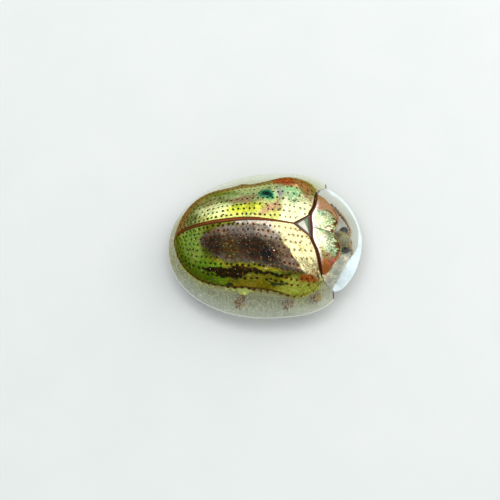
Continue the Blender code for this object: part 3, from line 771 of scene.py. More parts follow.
def loft(points, radii, segments=20, flatten=1.0, steps=28):
    """A rounded limb along smooth points, with a radius at each of them, as a closed bmesh."""
    points = [Vector(point) for point in points]
    spread = np.linspace(0, 1, steps)
    line = [point_along(points, share) for share in spread]
    sizes = through(spread, list(zip(np.linspace(0, 1, len(radii)), radii)))
    bm = bmesh.new()
    rings = []
    up = Vector((0, 0, 1))
    for index, (centre, size) in enumerate(zip(line, sizes)):
        ahead = line[min(index + 1, steps - 1)] - line[max(index - 1, 0)]
        ahead.normalize()
        side = ahead.cross(up).normalized()
        over = side.cross(ahead).normalized()
        end = min(index, steps - 1 - index)
        taper = math.sin(math.pi / 2 * min((end + 0.35) / 3.2, 1.0))
        ring = []
        for step in range(segments):
            turn = 2 * math.pi * step / segments
            offset = side * math.cos(turn) + over * math.sin(turn) * flatten
            ring.append(bm.verts.new(centre + offset * float(size) * taper))
        rings.append(ring)
    for near, far in zip(rings, rings[1:]):
        for step in range(segments):
            following = (step + 1) % segments
            bm.faces.new((near[step], near[following], far[following], far[step]))
    bm.faces.new(rings[0])
    bm.faces.new(rings[-1])
    bmesh.ops.recalc_face_normals(bm, faces=bm.faces)
    return bm


def ball(centre, radii, segments=28, rings=18, turn=0.0):
    bm = bmesh.new()
    place = (
        Matrix.Translation(Vector(centre))
        @ Matrix.Rotation(turn, 4, "Z")
        @ Matrix.Diagonal((*radii, 1.0))
    )
    bmesh.ops.create_uvsphere(bm, u_segments=segments, v_segments=rings, radius=1.0, matrix=place)
    return bm


def joined_mesh(name, pieces, others=()):
    """One mesh of all the pieces, in which the others have the second material."""
    for bm in others:
        for face in bm.faces:
            face.material_index = 1
    mesh = bpy.data.meshes.new(name)
    whole = bmesh.new()
    for bm in (*pieces, *others):
        part = bpy.data.meshes.new("part")
        bm.to_mesh(part)
        bm.free()
        whole.from_mesh(part)
        bpy.data.meshes.remove(part)
    whole.to_mesh(mesh)
    whole.free()
    return mesh


def fused(pieces, voxel, smoothing):
    """One organic skin over overlapping forms. It is remeshed in millimetres, before the scaling."""
    rough = joined_mesh("rough", pieces)
    maker = bpy.data.objects.new("maker", rough)
    bpy.context.scene.collection.objects.link(maker)
    remesh = maker.modifiers.new("remesh", "REMESH")
    remesh.mode = "VOXEL"
    remesh.voxel_size = voxel
    smooth = maker.modifiers.new("smooth", "SMOOTH")
    smooth.factor = 0.5
    smooth.iterations = smoothing
    bpy.context.view_layer.update()
    graph = bpy.context.evaluated_depsgraph_get()
    mesh = bpy.data.meshes.new_from_object(maker.evaluated_get(graph))
    skin = bmesh.new()
    skin.from_mesh(mesh)
    bpy.data.objects.remove(maker)
    for spent in (rough, mesh):
        bpy.data.meshes.remove(spent)
    return skin


def to_metres(mesh):
    mesh.transform(Matrix.Scale(MM, 4))
    mesh.shade_smooth()
    return mesh


def mirrored(point, side):
    return Vector((point[0], side * point[1], point[2]))


def hair(root, way, length, thickness):
    """A stiff hair as a thin four-sided cone."""
    way = way.normalized()
    turn = way.to_track_quat("Z", "Y").to_matrix().to_4x4()
    place = Matrix.Translation(root + way * length / 2) @ turn
    sizes = {"radius1": thickness, "radius2": thickness * 0.15, "depth": length}
    bm = bmesh.new()
    bmesh.ops.create_cone(bm, cap_ends=True, segments=4, matrix=place, **sizes)
    return bm


LEG_LINES = {
    "fore": ((1.82, 0.42, 0.44), (1.94, 1.08, 0.37), (1.68, 1.42, 0.24), (1.6, 1.9, 0.14)),
    "middle": ((0.72, 0.62, 0.44), (1.1, 1.32, 0.37), (0.82, 1.62, 0.24), (0.66, 2.09, 0.14)),
    "hind": ((-0.22, 0.66, 0.44), (-0.34, 1.34, 0.37), (-0.74, 1.52, 0.24), (-0.9, 1.96, 0.14)),
}
# Lobes of the foot's pads: share of its length, reach, half width, height, set aside, turned outwards
TARSUS_LOBES = (
    (0.13, 0.105, 0.065, 0.08, 0.045, 0.25),
    (0.4, 0.125, 0.08, 0.08, 0.062, 0.3),
    (0.78, 0.185, 0.092, 0.078, 0.088, 0.16),
)
COXA_RADII = (0.17, 0.25, 0.145)
# Radii along thigh and shin
FEMUR_RADII = (0.07, 0.15, 0.195, 0.205, 0.18, 0.125, 0.085)
TIBIA_RADII = (0.075, 0.08, 0.09, 0.11, 0.13, 0.12)
FOOT_VOXEL = 0.011
FOOT_HAIRS = 110
SHIN_HAIRS = 60


def tarsus_pads(ankle, toe):
    """Three flat two-lobed pads, and the claw joint that lies on them."""
    pads = []
    turn = math.atan2(toe.y - ankle.y, toe.x - ankle.x)
    ahead = Vector((math.cos(turn), math.sin(turn), 0))
    aside = Vector((-ahead.y, ahead.x, 0))
    for share, reach, half_width, height, offset, outwards in TARSUS_LOBES:
        for way in (-1, 1):
            centre = ankle.lerp(toe, share) + aside * offset * way
            radii = (reach, half_width, height)
            pads.append(ball((centre.x, centre.y, height), radii, 24, 14, turn + outwards * way))
    stalk = ankle.lerp(toe, 0.55)
    tip = ankle + ahead * ((toe - ankle).length + 0.07)
    line = [(stalk.x, stalk.y, 0.13), (toe.x, toe.y, 0.165), (tip.x, tip.y, 0.14)]
    pads.append(loft(line, (0.045, 0.042, 0.055), 14))
    return pads, ahead, aside, tip


def claw_pair(tip, ahead, aside):
    hooks = []
    for way in (-1, 1):
        side = aside * way
        root = Vector((tip.x, tip.y, 0.15))
        side_tip = root + ahead * 0.1 + side * 0.1 - Vector((0, 0, 0.1))
        bend = root + ahead * 0.06 + side * 0.05 - Vector((0, 0, 0.02))
        hooks.append(loft((root, bend, side_tip), (0.034, 0.026, 0.007), 12))
    return hooks


def darkened(mesh, joints, count=None):
    """Marks where a limb is darker, on its first count points or on all of them.

    joints is rows of centre, radius of the darkest part, reach.
    """
    mask = [
        max(1 - float(ease(near, far, (vert.co - centre).length)) for centre, near, far in joints)
        for vert in mesh.vertices[:count]
    ]
    mask += [0.0] * (len(mesh.vertices) - len(mask))
    mesh.attributes.new("joint", "FLOAT", "POINT").data.foreach_set("value", mask)


def leg_skin(pair, side, materials):
    name = f"leg_skin_{pair}_{SIDE_WORDS[side]}"
    coxa, knee, ankle, toe = (mirrored(point, side) for point in LEG_LINES[pair])
    pads, ahead, aside, tip = tarsus_pads(ankle, toe)
    along = (knee - coxa).normalized()
    down = (ankle - knee).normalized()
    middle = coxa.lerp(knee, 0.5) + Vector((0, 0, 0.015))
    shin = knee.lerp(ankle, 0.5) + Vector((0.03, 0, 0.02))
    foot = fused(pads, FOOT_VOXEL, 2)
    for vert in foot.verts:
        vert.co.z = max(vert.co.z, 0.0)
    limb = [
        foot,
        ball(coxa, COXA_RADII, 32, 22),
        loft((coxa + along * 0.1, middle, knee + along * 0.06), FEMUR_RADII, 28, 0.9, 34),
        loft((knee, shin, ankle + down * 0.06), TIBIA_RADII, 24, 0.8, 34),
    ]
    bristles = [
        *claw_pair(tip, ahead, aside),
        ball(coxa + along * 0.2 - Vector((0, 0, 0.03)), (0.11, 0.11, 0.1)),
        ball(knee + along * 0.03, (0.095, 0.095, 0.085)),
        ball(ankle + down * 0.04, (0.075, 0.075, 0.065)),
    ]
    for way in (-1, 1):
        bristles.append(hair(ankle + aside * 0.06 * way, down + aside * 0.5 * way, 0.11, 0.016))
    for _ in range(FOOT_HAIRS):
        share = LUCK.uniform(0.05, 1.0)
        centre = ankle.lerp(toe, share)
        way = LUCK.choice((-1, 1))
        root = Vector((centre.x, centre.y, 0.05)) + aside * way * (0.07 + 0.08 * share)
        lean = aside * way + ahead * LUCK.uniform(-0.2, 0.6) - Vector((0, 0, LUCK.uniform(0.1, 0.6)))
        bristles.append(hair(root, lean, LUCK.uniform(0.04, 0.07), 0.006))
    for _ in range(SHIN_HAIRS):
        centre = knee.lerp(ankle, LUCK.uniform(0.35, 1.0))
        way = Vector((LUCK.uniform(-1, 1), LUCK.uniform(-1, 1), LUCK.uniform(-0.8, 0.5))).normalized()
        bristles.append(hair(centre + way * 0.095, way + down * 0.8, 0.06, 0.006))
    mesh = joined_mesh(name, limb, bristles)
    darkened(mesh, [(coxa, 0.19, 0.28), (knee, 0.04, 0.15), (ankle, 0.03, 0.12)])
    return new_piece(name, to_metres(mesh), materials)


ANTENNA_LINE = (
    (2.8, 0.1, 0.42), (2.9, 0.38, 0.33), (2.82, 0.68, 0.28),
    (2.68, 0.98, 0.25), (2.48, 1.26, 0.25), (2.28, 1.5, 0.24),
)
ANTENNA_SHARES = (0.13, 0.07, 0.09, 0.09, 0.09, 0.08, 0.08, 0.08, 0.08, 0.08, 0.13)
ANTENNA_RADII = (0.07, 0.048, 0.042, 0.044, 0.048, 0.054, 0.064, 0.07, 0.073, 0.073, 0.068)
# Radii along a bead of the antenna, as shares of its size
BEAD_PROFILE = (0.42, 0.8, 0.96, 1.0, 0.98, 0.6)
BEAD_HAIRS = 9


def antenna_point(share, side):
    return mirrored(point_along(ANTENNA_LINE, min(share, 1.0)), side)


def antenna_skin(side, materials):
    name = f"antenna_skin_{SIDE_WORDS[side]}"
    beads, start = [], 0.0
    rings = [(antenna_point(1.0, side), 0.15, 0.6)]
    for share, size in zip(ANTENNA_SHARES, ANTENNA_RADII):
        line = [antenna_point(start + share * t, side) for t in (0.0, 0.5, 0.98)]
        beads.append(loft(line, [part * size for part in BEAD_PROFILE], 18, 1.0, 18))
        rings.append((line[2], 0.008, 0.035))
        for _ in range(BEAD_HAIRS):
            way = Vector([LUCK.gauss(0, 1) for _ in range(3)]).normalized()
            centre = antenna_point(start + share * LUCK.uniform(0.3, 0.95), side)
            ahead = antenna_point(start + share * 1.2, side) - line[0]
            beads.append(hair(centre + way * size * 0.8, way + ahead.normalized(), 0.05, 0.005))
        start += share
    mesh = joined_mesh(name, beads)
    darkened(mesh, rings)
    return new_piece(name, to_metres(mesh), materials)


HEAD_CENTRE = Vector((2.52, 0.0, 0.36))
HEAD_VOXEL = 0.01
FACE_HAIRS = 22
EYE_CENTRE = Vector((2.68, 0.35, 0.42))
EYE_RADII = Vector((0.15, 0.115, 0.175))
# Lenses of an eye, and their size as shares of its own
LENSES = 900
LENS_RADIUS = 0.065
LENS_HEIGHT = 0.016
# Jaw, and the joints of the two pairs of palps with their radii
JAW = ((2.74, 0.15, 0.19), (2.85, 0.13, 0.16), (2.91, 0.07, 0.13), (2.93, 0.01, 0.12))
OUTER_PALP = ((2.66, 0.19, 0.17), (2.76, 0.22, 0.13), (2.84, 0.235, 0.11), (2.9, 0.225, 0.07))
INNER_PALP = ((2.66, 0.08, 0.12), (2.74, 0.1, 0.085), (2.8, 0.1, 0.06))
PALPS = ((OUTER_PALP, (0.024, 0.036, 0.026)), (INNER_PALP, (0.02, 0.028, 0.018)))


def head_skin(materials):
    mouth = []
    forms = [
        ball(HEAD_CENTRE, (0.36, 0.41, 0.255), 40, 28),
        ball((2.74, 0.0, 0.36), (0.15, 0.22, 0.19), 32, 20),
        ball((2.83, 0.0, 0.26), (0.07, 0.15, 0.07), 28, 16),
    ]
    for side in (1, -1):
        forms.append(ball(mirrored((2.78, 0.09, 0.42), side), (0.07, 0.07, 0.06), 20, 14))
        forms.append(ball(mirrored((2.6, 0.33, 0.3), side), (0.15, 0.1, 0.14), 24, 16))
        for palp, radii in PALPS:
            for near, far in zip(palp, palp[1:]):
                near, far = mirrored(near, side), mirrored(far, side)
                mouth.append(loft((near, near.lerp(far, 0.5), far), radii, 14, 1.0, 12))
        jaw = [mirrored(point, side) for point in JAW]
        mouth.append(loft(jaw, (0.07, 0.062, 0.04, 0.012), 18, 0.8))
    mouth.append(ball((2.87, 0.0, 0.215), (0.055, 0.125, 0.04), 28, 16))
    for _ in range(FACE_HAIRS):
        root = Vector((2.86, LUCK.uniform(-0.17, 0.17), LUCK.uniform(0.2, 0.31)))
        mouth.append(hair(root, Vector((1.0, root.y * 3, -0.9)), LUCK.uniform(0.05, 0.08), 0.004))
    skin = fused(forms, HEAD_VOXEL, 3)
    for vert in skin.verts:
        groove = math.exp(-((vert.co.y / 0.018) ** 2)) * (vert.co.x > 2.55) * (vert.co.z > 0.34)
        vert.co.x -= 0.012 * groove
        arc = abs(vert.co.x - 2.8 + 1.2 * vert.co.y**2)
        vert.co.z -= 0.01 * math.exp(-((arc / 0.014) ** 2)) * (vert.co.z > 0.3)
    count = len(skin.verts)
    mesh = joined_mesh("head_skin", [skin], mouth)
    darkened(mesh, [(Vector((2.88, 0.0, 0.2)), 0.1, 0.24)], count)
    return new_piece("head_skin", to_metres(mesh), materials)


def eye_skin(side, material):
    """The eye, with hexagon-packed lenses as small domes."""
    name = f"eye_skin_{SIDE_WORDS[side]}"
    bm = bmesh.new()
    bmesh.ops.create_icosphere(bm, subdivisions=6, radius=1.0)
    golden = math.pi * (3 - math.sqrt(5))
    tree = KDTree(LENSES)
    for index in range(LENSES):
        z = 1 - 2 * (index + 0.5) / LENSES
        ring = math.sqrt(1 - z * z)
        tree.insert((ring * math.cos(golden * index), ring * math.sin(golden * index), z), index)
    tree.balance()
    for vert in bm.verts:
        distance = tree.find(vert.co)[2]
        vert.co *= 1 + LENS_HEIGHT * (1 - (distance / LENS_RADIUS) ** 2)
    centre = mirrored(EYE_CENTRE, side)
    turn = Matrix.Rotation(math.radians(-18) * side, 4, "X")
    bm.transform(Matrix.Translation(centre) @ turn @ Matrix.Diagonal((*EYE_RADII, 1.0)))
    return new_piece(name, to_metres(joined_mesh(name, [bm])), [material])


# Materials


def new_material(name):
    material = bpy.data.materials.new(name)
    material.use_nodes = True
    material.node_tree.nodes.clear()
    return material, material.node_tree


def wire(tree, value, socket):
    """Sets an input: an output is joined to it, a name stands for that mask, and a colour gets its alpha."""
    if isinstance(value, str):
        value = add_node(tree, "Attribute", {}, attribute_name=value).outputs["Fac"]
    if isinstance(value, bpy.types.NodeSocket):
        tree.links.new(value, socket)
    elif socket.type == "RGBA":
        socket.default_value = (*value, 1.0)
    else:
        socket.default_value = value


def add_node(tree, kind, inputs, **settings):
    node = tree.nodes.new("ShaderNode" + kind)
    for setting, value in settings.items():
        setattr(node, setting, value)
    for place, value in inputs.items():
        wire(tree, value, node.inputs[place])
    return node


def sums(tree, operation, first, second, third=0.0):
    return add_node(tree, "Math", {0: first, 1: second, 2: third}, operation=operation).outputs[0]


def times(tree, first, second):
    return sums(tree, "MULTIPLY", first, second)


def times_plus(tree, first, second, third):
    return sums(tree, "MULTIPLY_ADD", first, second, third)


def at_least(tree, share, *rows):
    """Raises a share to the strength of each mask. rows are masks and their strengths."""
    for mask, strength in rows:
        share = sums(tree, "MAXIMUM", share, times(tree, mask, strength))
    return share


def ranged(tree, value, low, high, to_low=0.0, to_high=1.0):
    numbers = {0: value, 1: low, 2: high, 3: to_low, 4: to_high}
    return add_node(tree, "MapRange", numbers, interpolation_type="SMOOTHSTEP").outputs[0]


def blend(tree, factor, first, second, kind="MIX"):
    colours = {0: factor, 6: first, 7: second}
    return add_node(tree, "Mix", colours, data_type="RGBA", blend_type=kind).outputs[2]


def laid_over(tree, colour, *layers):
    """Lays colours over a colour. layers are masks and their colours."""
    for mask, tint in layers:
        colour = blend(tree, mask, colour, tint)
    return colour


def grain(tree, per_mm, detail=3.0, stretch=(1.0, 1.0, 1.0)):
    """Noise whose grains are counted to the millimetre, in the object's own frame."""
    place = add_node(tree, "TexCoord", {}).outputs["Object"]
    scale = [per_mm / MM * share for share in stretch]
    vector = add_node(tree, "Mapping", {"Scale": scale, "Vector": place}).outputs["Vector"]
    numbers = {"Scale": 1.0, "Detail": detail, "Roughness": 0.55, "Vector": vector}
    return add_node(tree, "TexNoise", numbers).outputs["Fac"]


def bumped(tree, *layers):
    """Bumps on bumps. layers are heights and their depths in thousandths of a millimetre."""
    normal = None
    for height, microns in layers:
        node = add_node(tree, "Bump", {"Strength": 1.0, "Distance": microns * 1e-6, "Height": height})
        if normal is not None:
            tree.links.new(normal, node.inputs["Normal"])
        normal = node.outputs["Normal"]
    return normal


def cuticle(tree, colour, roughness, metallic=0.0, coat=0.0, normal=None, graze=(1.0, 1.0, 1.0)):
    inputs = {
        "Base Color": colour,
        "Roughness": roughness,
        "Metallic": metallic,
        "Coat Weight": coat,
        "Coat Roughness": 0.1,
        "Specular Tint": graze,
    }
    node = add_node(tree, "BsdfPrincipled", inputs)
    if normal is not None:
        tree.links.new(normal, node.inputs["Normal"])
    return node


def surface(tree, shader):
    add_node(tree, "OutputMaterial", {"Surface": shader.outputs[0]})


# Marks that noise breaks into specks, and by how much
SPECKLED = {"mint": 2.2, "flush": 2.2, "halo": 1.4, "teal": 1.3, "pupil": 1.6}
LINE_BROWN = (0.066, 0.017, 0.006)
CORE_BROWN = (0.2, 0.052, 0.014)
EDGE_BROWN = (0.09, 0.028, 0.007)
FRINGE_YELLOW = (0.4, 0.43, 0.12)
PIT_BROWN = (0.08, 0.017, 0.004)
PIT_BLACK = (0.008, 0.009, 0.003)
INNER_BROWN = (0.28, 0.15, 0.04)
# Tint of what gold mirrors at a low angle
GOLD_GRAZE = (0.6, 0.56, 0.26)
BRONZE_GRAZE = (0.6, 0.48, 0.27)
# Tints of the thin layers
GREEN_TINT = (0.62, 0.95, 0.6)
ROSE_TINT = (1.0, 0.74, 0.55)
TEAL_TINT = (0.55, 0.85, 0.7)
# Base gold of the wing cases: the left is painted lighter and yellower than the right, as the side the light
# falls on
RIGHT_GOLD = (0.12, 0.125, 0.01)
LEFT_GOLD = (0.35, 0.335, 0.11)
# The clear film, and how dark the joints of the limbs are
CLEAR_INDEX = 1.35
CLEAR_ROUGHNESS = 0.07
JOINT_SHADE = 0.3


def broken(tree, mask, noise_value, spread=0.45):
    """A mark whose edge is broken up by noise."""
    shifted = times_plus(tree, sums(tree, "SUBTRACT", noise_value, 0.5), spread, mask)
    return ranged(tree, shifted, 0.12, 0.85)


def brightened(tree, colour, value):
    return add_node(tree, "HueSaturation", {"Color": colour, "Value": value}).outputs[0]


def shimmering(tree, colour, strength, warm=0.0):
    """Patches of green, rose and bronze, as the thin layers of the cuticle show them."""
    cool = times_plus(tree, warm, -0.85, 1.0)
    for per_mm, tint, share in ((1.9, GREEN_TINT, cool), (3.4, ROSE_TINT, 1.0), (6.5, TEAL_TINT, cool)):
        patch = times(tree, ranged(tree, grain(tree, per_mm, 4.0), 0.5, 0.64), strength)
        colour = blend(tree, times(tree, patch, share), colour, tint, "MULTIPLY")
    return colour


def gold_surface(tree, colour, roughness, coat, normal, graze):
    """Gold above, and brown and hardly metallic on the lower face."""
    colour = blend(tree, "under", colour, INNER_BROWN)
    metallic = times_plus(tree, "under", -0.8, 1.0)
    surface(tree, cuticle(tree, colour, roughness, metallic, coat, normal, graze))


def gold_material(name, base_colour, layers, graze):
    """Gold cuticle. layers are the marks over the base colour, each the name of a mask and its colour."""
    material, tree = new_material(name)
    coarse = grain(tree, 2.2, 4.0)
    fine = grain(tree, 11.0)
    glitter = grain(tree, 26.0, 2.0)
    edge_noise = times_plus(tree, fine, 0.45, times(tree, coarse, 0.55))
    colour = base_colour
    for mask, tint in layers:
        if mask in SPECKLED:
            cover = broken(tree, mask, fine, SPECKLED[mask])
        else:
            cover = broken(tree, mask, edge_noise)
        colour = blend(tree, cover, colour, tint)
    colour = shimmering(tree, colour, times_plus(tree, "warm", 0.45, 0.35), "warm")
    flecks = times(tree, ranged(tree, grain(tree, 15.0), 0.6, 0.7), "warm")
    colour = blend(tree, times(tree, flecks, 0.55), colour, (0.62, 0.34, 0.12))
    lit = ranged(tree, fine, 0.3, 0.7, 0.66, 1.22)
    lit = times(tree, lit, ranged(tree, glitter, 0.38, 0.64, 0.74, 1.22))
    # Painted glints: tiny white specks
    painted_glints = ranged(tree, grain(tree, 20.0, 1.0), 0.72, 0.78)
    stain = times(tree, "stain", 0.94)
    colour = laid_over(
        tree,
        brightened(tree, colour, lit),
        (times(tree, painted_glints, 0.8), (1.0, 0.96, 0.8)),
        ("fringe", FRINGE_YELLOW),
        (times(tree, broken(tree, "edge_line", fine, 0.7), 0.8), EDGE_BROWN),
        (stain, blend(tree, "ruddy", PIT_BLACK, PIT_BROWN)),
        ("line", LINE_BROWN),
        ("core", CORE_BROWN),
    )
    roughness = ranged(tree, coarse, 0.3, 0.7, 0.2, 0.32)
    roughness = times_plus(tree, sums(tree, "MAXIMUM", stain, "line"), 0.14, roughness)
    normal = bumped(tree, (coarse, 12.0), (fine, 3.0), (glitter, 0.8))
    gold_surface(tree, colour, roughness, 0.04, normal, graze)
    return material


def mixed(tree, share, first, second):
    return add_node(tree, "MixShader", {0: share, 1: first.outputs[0], 2: second.outputs[0]})


def see_through(tree, share, body, tint):
    """Clear cuticle: it mirrors a little, lets most light through, and shows the body by share.

    Its lower face adds nothing, so that light is dimmed once on its way through. Next to the gold
    both faces end softly, in the gold's colours.
    """
    solid = ranged(tree, "clear", 0.75, 0.25)
    share = sums(tree, "MAXIMUM", share, solid)
    clear = add_node(tree, "BsdfTransparent", {"Color": tint})
    mirror = add_node(tree, "BsdfGlossy", {"Roughness": CLEAR_ROUGHNESS})
    fresnel = add_node(tree, "Fresnel", {"IOR": CLEAR_INDEX}).outputs[0]
    upper = mixed(tree, share, mixed(tree, fresnel, clear, mirror), body)
    nothing = add_node(tree, "BsdfTransparent", {})
    lower = mixed(tree, solid, nothing, cuticle(tree, INNER_BROWN, 0.3, 0.2))
    surface(tree, mixed(tree, "under", upper, lower))


def vein_lines(tree, along, across):
    """Fine branching lines: the walls between cells laid out round the margin."""
    place = add_node(tree, "CombineXYZ", {0: times(tree, "turn", along), 1: times(tree, "length", across)})
    inputs = {"Scale": 1.0, "Vector": place.outputs[0]}
    cells = add_node(tree, "TexVoronoi", inputs, feature="DISTANCE_TO_EDGE")
    return ranged(tree, cells.outputs["Distance"], 0.1, 0.02)


def wing_margin_material():
    material, tree = new_material("clear_wing_margin")
    veins = sums(tree, "MAXIMUM", vein_lines(tree, 20.0, 6.5), "spokes")
    mottle = grain(tree, 3.0, 4.0)
    amber = ranged(tree, "out", 0.3, 0.02)
    gilt = ranged(tree, "clear", 1.0, 0.5)
    colour = laid_over(
        tree,
        (0.74, 0.78, 0.62),
        (amber, (0.3, 0.26, 0.03)),
        ("stain", (0.16, 0.045, 0.01)),
        ("line", LINE_BROWN),
        ("rim", (0.72, 0.74, 0.66)),
        (gilt, blend(tree, times(tree, "edge_line", 0.85), FRINGE_YELLOW, EDGE_BROWN)),
    )
    share = times_plus(tree, veins, 0.18, ranged(tree, mottle, 0.35, 0.75, 0.03, 0.12))
    share = at_least(tree, share, (amber, 0.55), ("rim", 0.75), ("stain", 0.9), ("line", 0.95))
    normal = bumped(tree, (times_plus(tree, veins, 0.5, mottle), 5.0))
    body = cuticle(tree, colour, 0.25, gilt, 0.3, normal)
    tint = blend(tree, ranged(tree, "out", 0.9, 0.0), (0.92, 0.95, 0.8), (0.64, 0.67, 0.3))
    # Darker tint towards the tail: painted shade of the shadow seen through the clear margin
    see_through(tree, share, body, blend(tree, "tail", tint, (0.52, 0.5, 0.2)))
    return material


def pronotum_gold_material():
    material, tree = new_material("pronotum_cuticle")
    coarse = grain(tree, 2.6, 4.0)
    fine = grain(tree, 12.0)
    streak = grain(tree, 5.0, 4.0, (1.0, 3.0, 1.0))
    glitter = grain(tree, 24.0, 2.0)
    edge_noise = times_plus(tree, fine, 0.35, times(tree, coarse, 0.65))
    colour = blend(tree, coarse, (0.22, 0.21, 0.05), (0.5, 0.42, 0.14))
    colour = blend(tree, broken(tree, "cream", edge_noise), colour, (0.94, 0.9, 0.6))
    colour = shimmering(tree, colour, 0.75)
    mint = times(tree, broken(tree, "mint", edge_noise, 0.9), 0.7)
    colour = blend(tree, mint, colour, (0.3, 0.52, 0.34))
    dark_streaks = times(tree, "streaks", ranged(tree, streak, 0.44, 0.56))
    colour = blend(tree, dark_streaks, colour, (0.12, 0.05, 0.012))
    lit = ranged(tree, fine, 0.3, 0.7, 0.56, 1.14)
    lit = times(tree, lit, ranged(tree, glitter, 0.38, 0.64, 0.7, 1.16))
    # The left rust is painted lighter than the right, as a painted sheen on it
    left_rust = blend(tree, coarse, (0.44, 0.2, 0.09), (0.58, 0.33, 0.2))
    right_rust = blend(tree, coarse, (0.28, 0.075, 0.01), (0.44, 0.15, 0.03))
    colour = laid_over(
        tree,
        brightened(tree, colour, lit),
        (broken(tree, "rust_left", edge_noise, 0.3), left_rust),
        (broken(tree, "rust_right", edge_noise, 0.3), right_rust),
        # Painted violet sheen
        ("violet", (0.24, 0.06, 0.1)),
        # Painted highlight in front of the hind edge
        ("painted_highlight", (0.95, 0.92, 0.84)),
        ("stain", PIT_BROWN),
        (sums(tree, "MAXIMUM", "line", "mid_line"), LINE_BROWN),
    )
    gold_surface(tree, colour, 0.26, 0.06, bumped(tree, (coarse, 14.0), (fine, 3.0)), GOLD_GRAZE)
    return material


def pronotum_margin_material():
    material, tree = new_material("clear_pronotum_margin")
    mottle = grain(tree, 2.2, 4.0)
    patches = grain(tree, 3.6, 4.0)
    # Painted white glare on the clear rim, broken up by the mottle
    painted_glare = times(tree, broken(tree, "painted_glare", mottle, 0.6), ranged(tree, mottle, 0.3, 0.7, 0.62, 0.88))
    painted_glare = times(tree, painted_glare, ranged(tree, grain(tree, 14.0, 2.0), 0.58, 0.7, 1.0, 0.8))
    cover = times(tree, ranged(tree, patches, 0.38, 0.7), "mottled")
    brow = times(tree, ranged(tree, patches, 0.36, 0.6), "brow")
    speck = ranged(tree, grain(tree, 7.0), 0.4, 0.6)
    colour = laid_over(
        tree,
        (0.72, 0.8, 0.66),
        ("painted_glare", (0.74, 0.86, 0.9)),
        ("line", LINE_BROWN),
        (
            times(tree, cover, sums(tree, "SUBTRACT", 1.0, painted_glare)),
            blend(tree, speck, (0.86, 0.76, 0.46), (0.32, 0.18, 0.05)),
        ),
        (brow, (0.16, 0.15, 0.03)),
        (ranged(tree, "clear", 1.0, 0.5), (0.3, 0.13, 0.04)),
    )
    share = sums(tree, "ADD", painted_glare, ranged(tree, mottle, 0.35, 0.75, 0.0, 0.02))
    share = times_plus(tree, "haze", 0.04, share)
    share = at_least(tree, share, (cover, 0.82), (brow, 0.22), ("rim", 0.7), ("line", 0.95))
    body = cuticle(tree, colour, 0.22, 0.0, 0.3, bumped(tree, (mottle, 6.0)))
    see_through(tree, share, body, (0.93, 0.96, 0.86))
    return material


def scutellum_material():
    material, tree = new_material("scutellum_cuticle")
    coarse = grain(tree, 5.0)
    colour = laid_over(
        tree,
        (0.2, 0.21, 0.15),
        (coarse, (0.66, 0.64, 0.54)),
        # Painted dark reflection
        (broken(tree, "painted_dark_reflection", coarse), (0.09, 0.15, 0.07)),
        ("line", LINE_BROWN),
    )
    metallic = sums(tree, "SUBTRACT", 1.0, "line")
    surface(tree, cuticle(tree, colour, 0.22, metallic, 0.7, bumped(tree, (coarse, 6.0))))
    return material


def trunk_material():
    material, tree = new_material("trunk_cuticle")
    coarse = grain(tree, 3.0, 4.0)
    fine = grain(tree, 18.0)
    colour = laid_over(
        tree,
        (0.035, 0.016, 0.008),
        (coarse, (0.11, 0.045, 0.018)),
        (ranged(tree, "side", 0.62, 0.95), (0.46, 0.25, 0.055)),
        ("plate_line", (0.5, 0.3, 0.1)),
    )
    roughness = ranged(tree, fine, 0.3, 0.7, 0.28, 0.45)
    surface(tree, cuticle(tree, colour, roughness, 0.0, 0.4, bumped(tree, (coarse, 8.0), (fine, 4.0))))
    return material


def plain_cuticle(name, dark, light, roughness, per_mm, microns, coat):
    material, tree = new_material(name)
    coarse = grain(tree, per_mm, 4.0)
    fine = grain(tree, per_mm * 6)
    colour = blend(tree, ranged(tree, coarse, 0.3, 0.7), dark, light)
    shade = tuple(JOINT_SHADE * part for part in dark)
    colour = blend(tree, times(tree, "joint", 0.85), colour, shade)
    normal = bumped(tree, (coarse, microns), (fine, microns * 0.35))
    surface(tree, cuticle(tree, colour, roughness, 0.0, coat, normal))
    return material


# Studio

FLOOR_SIZE = 1.2
# The camera, fitted to the outline of the shield in the photograph
CAMERA_AZIMUTH = math.radians(-7.5)
CAMERA_ELEVATION = math.radians(65)
CAMERA_ROLL = math.radians(9.6)
CAMERA_DISTANCE = 27.0
PIXELS_PER_MM = 29.8
FRAME_PIXELS = 500
BODY_PIXEL = (264.5, 243.7)
SENSOR = 36.0


def make_camera():
    azimuth, elevation, roll = CAMERA_AZIMUTH, CAMERA_ELEVATION, CAMERA_ROLL
    level = Vector((math.cos(azimuth), -math.sin(azimuth), 0))
    forward = math.cos(azimuth) * math.sin(elevation)
    rise = Vector((math.sin(azimuth) * math.sin(elevation), forward, math.cos(elevation)))
    back = level.cross(rise)
    right = level * math.cos(roll) - rise * math.sin(roll)
    up = level * math.sin(roll) + rise * math.cos(roll)
    aside = (BODY_PIXEL[0] - FRAME_PIXELS / 2) / PIXELS_PER_MM
    above = (FRAME_PIXELS / 2 - BODY_PIXEL[1]) / PIXELS_PER_MM
    place = back * CAMERA_DISTANCE - right * aside - up * above + Vector((0, 0, RIM_LEVEL))
    data = bpy.data.cameras.new("camera")
    data.sensor_width = SENSOR
    data.lens = SENSOR * PIXELS_PER_MM * CAMERA_DISTANCE / FRAME_PIXELS
    data.clip_start = 0.001
    data.clip_end = 2.0
    camera = bpy.data.objects.new("camera", data)
    bpy.context.scene.collection.objects.link(camera)
    turn = Matrix((right, up, back)).transposed().to_4x4()
    camera.matrix_world = Matrix.Translation(place * MM) @ turn
    bpy.context.scene.camera = camera


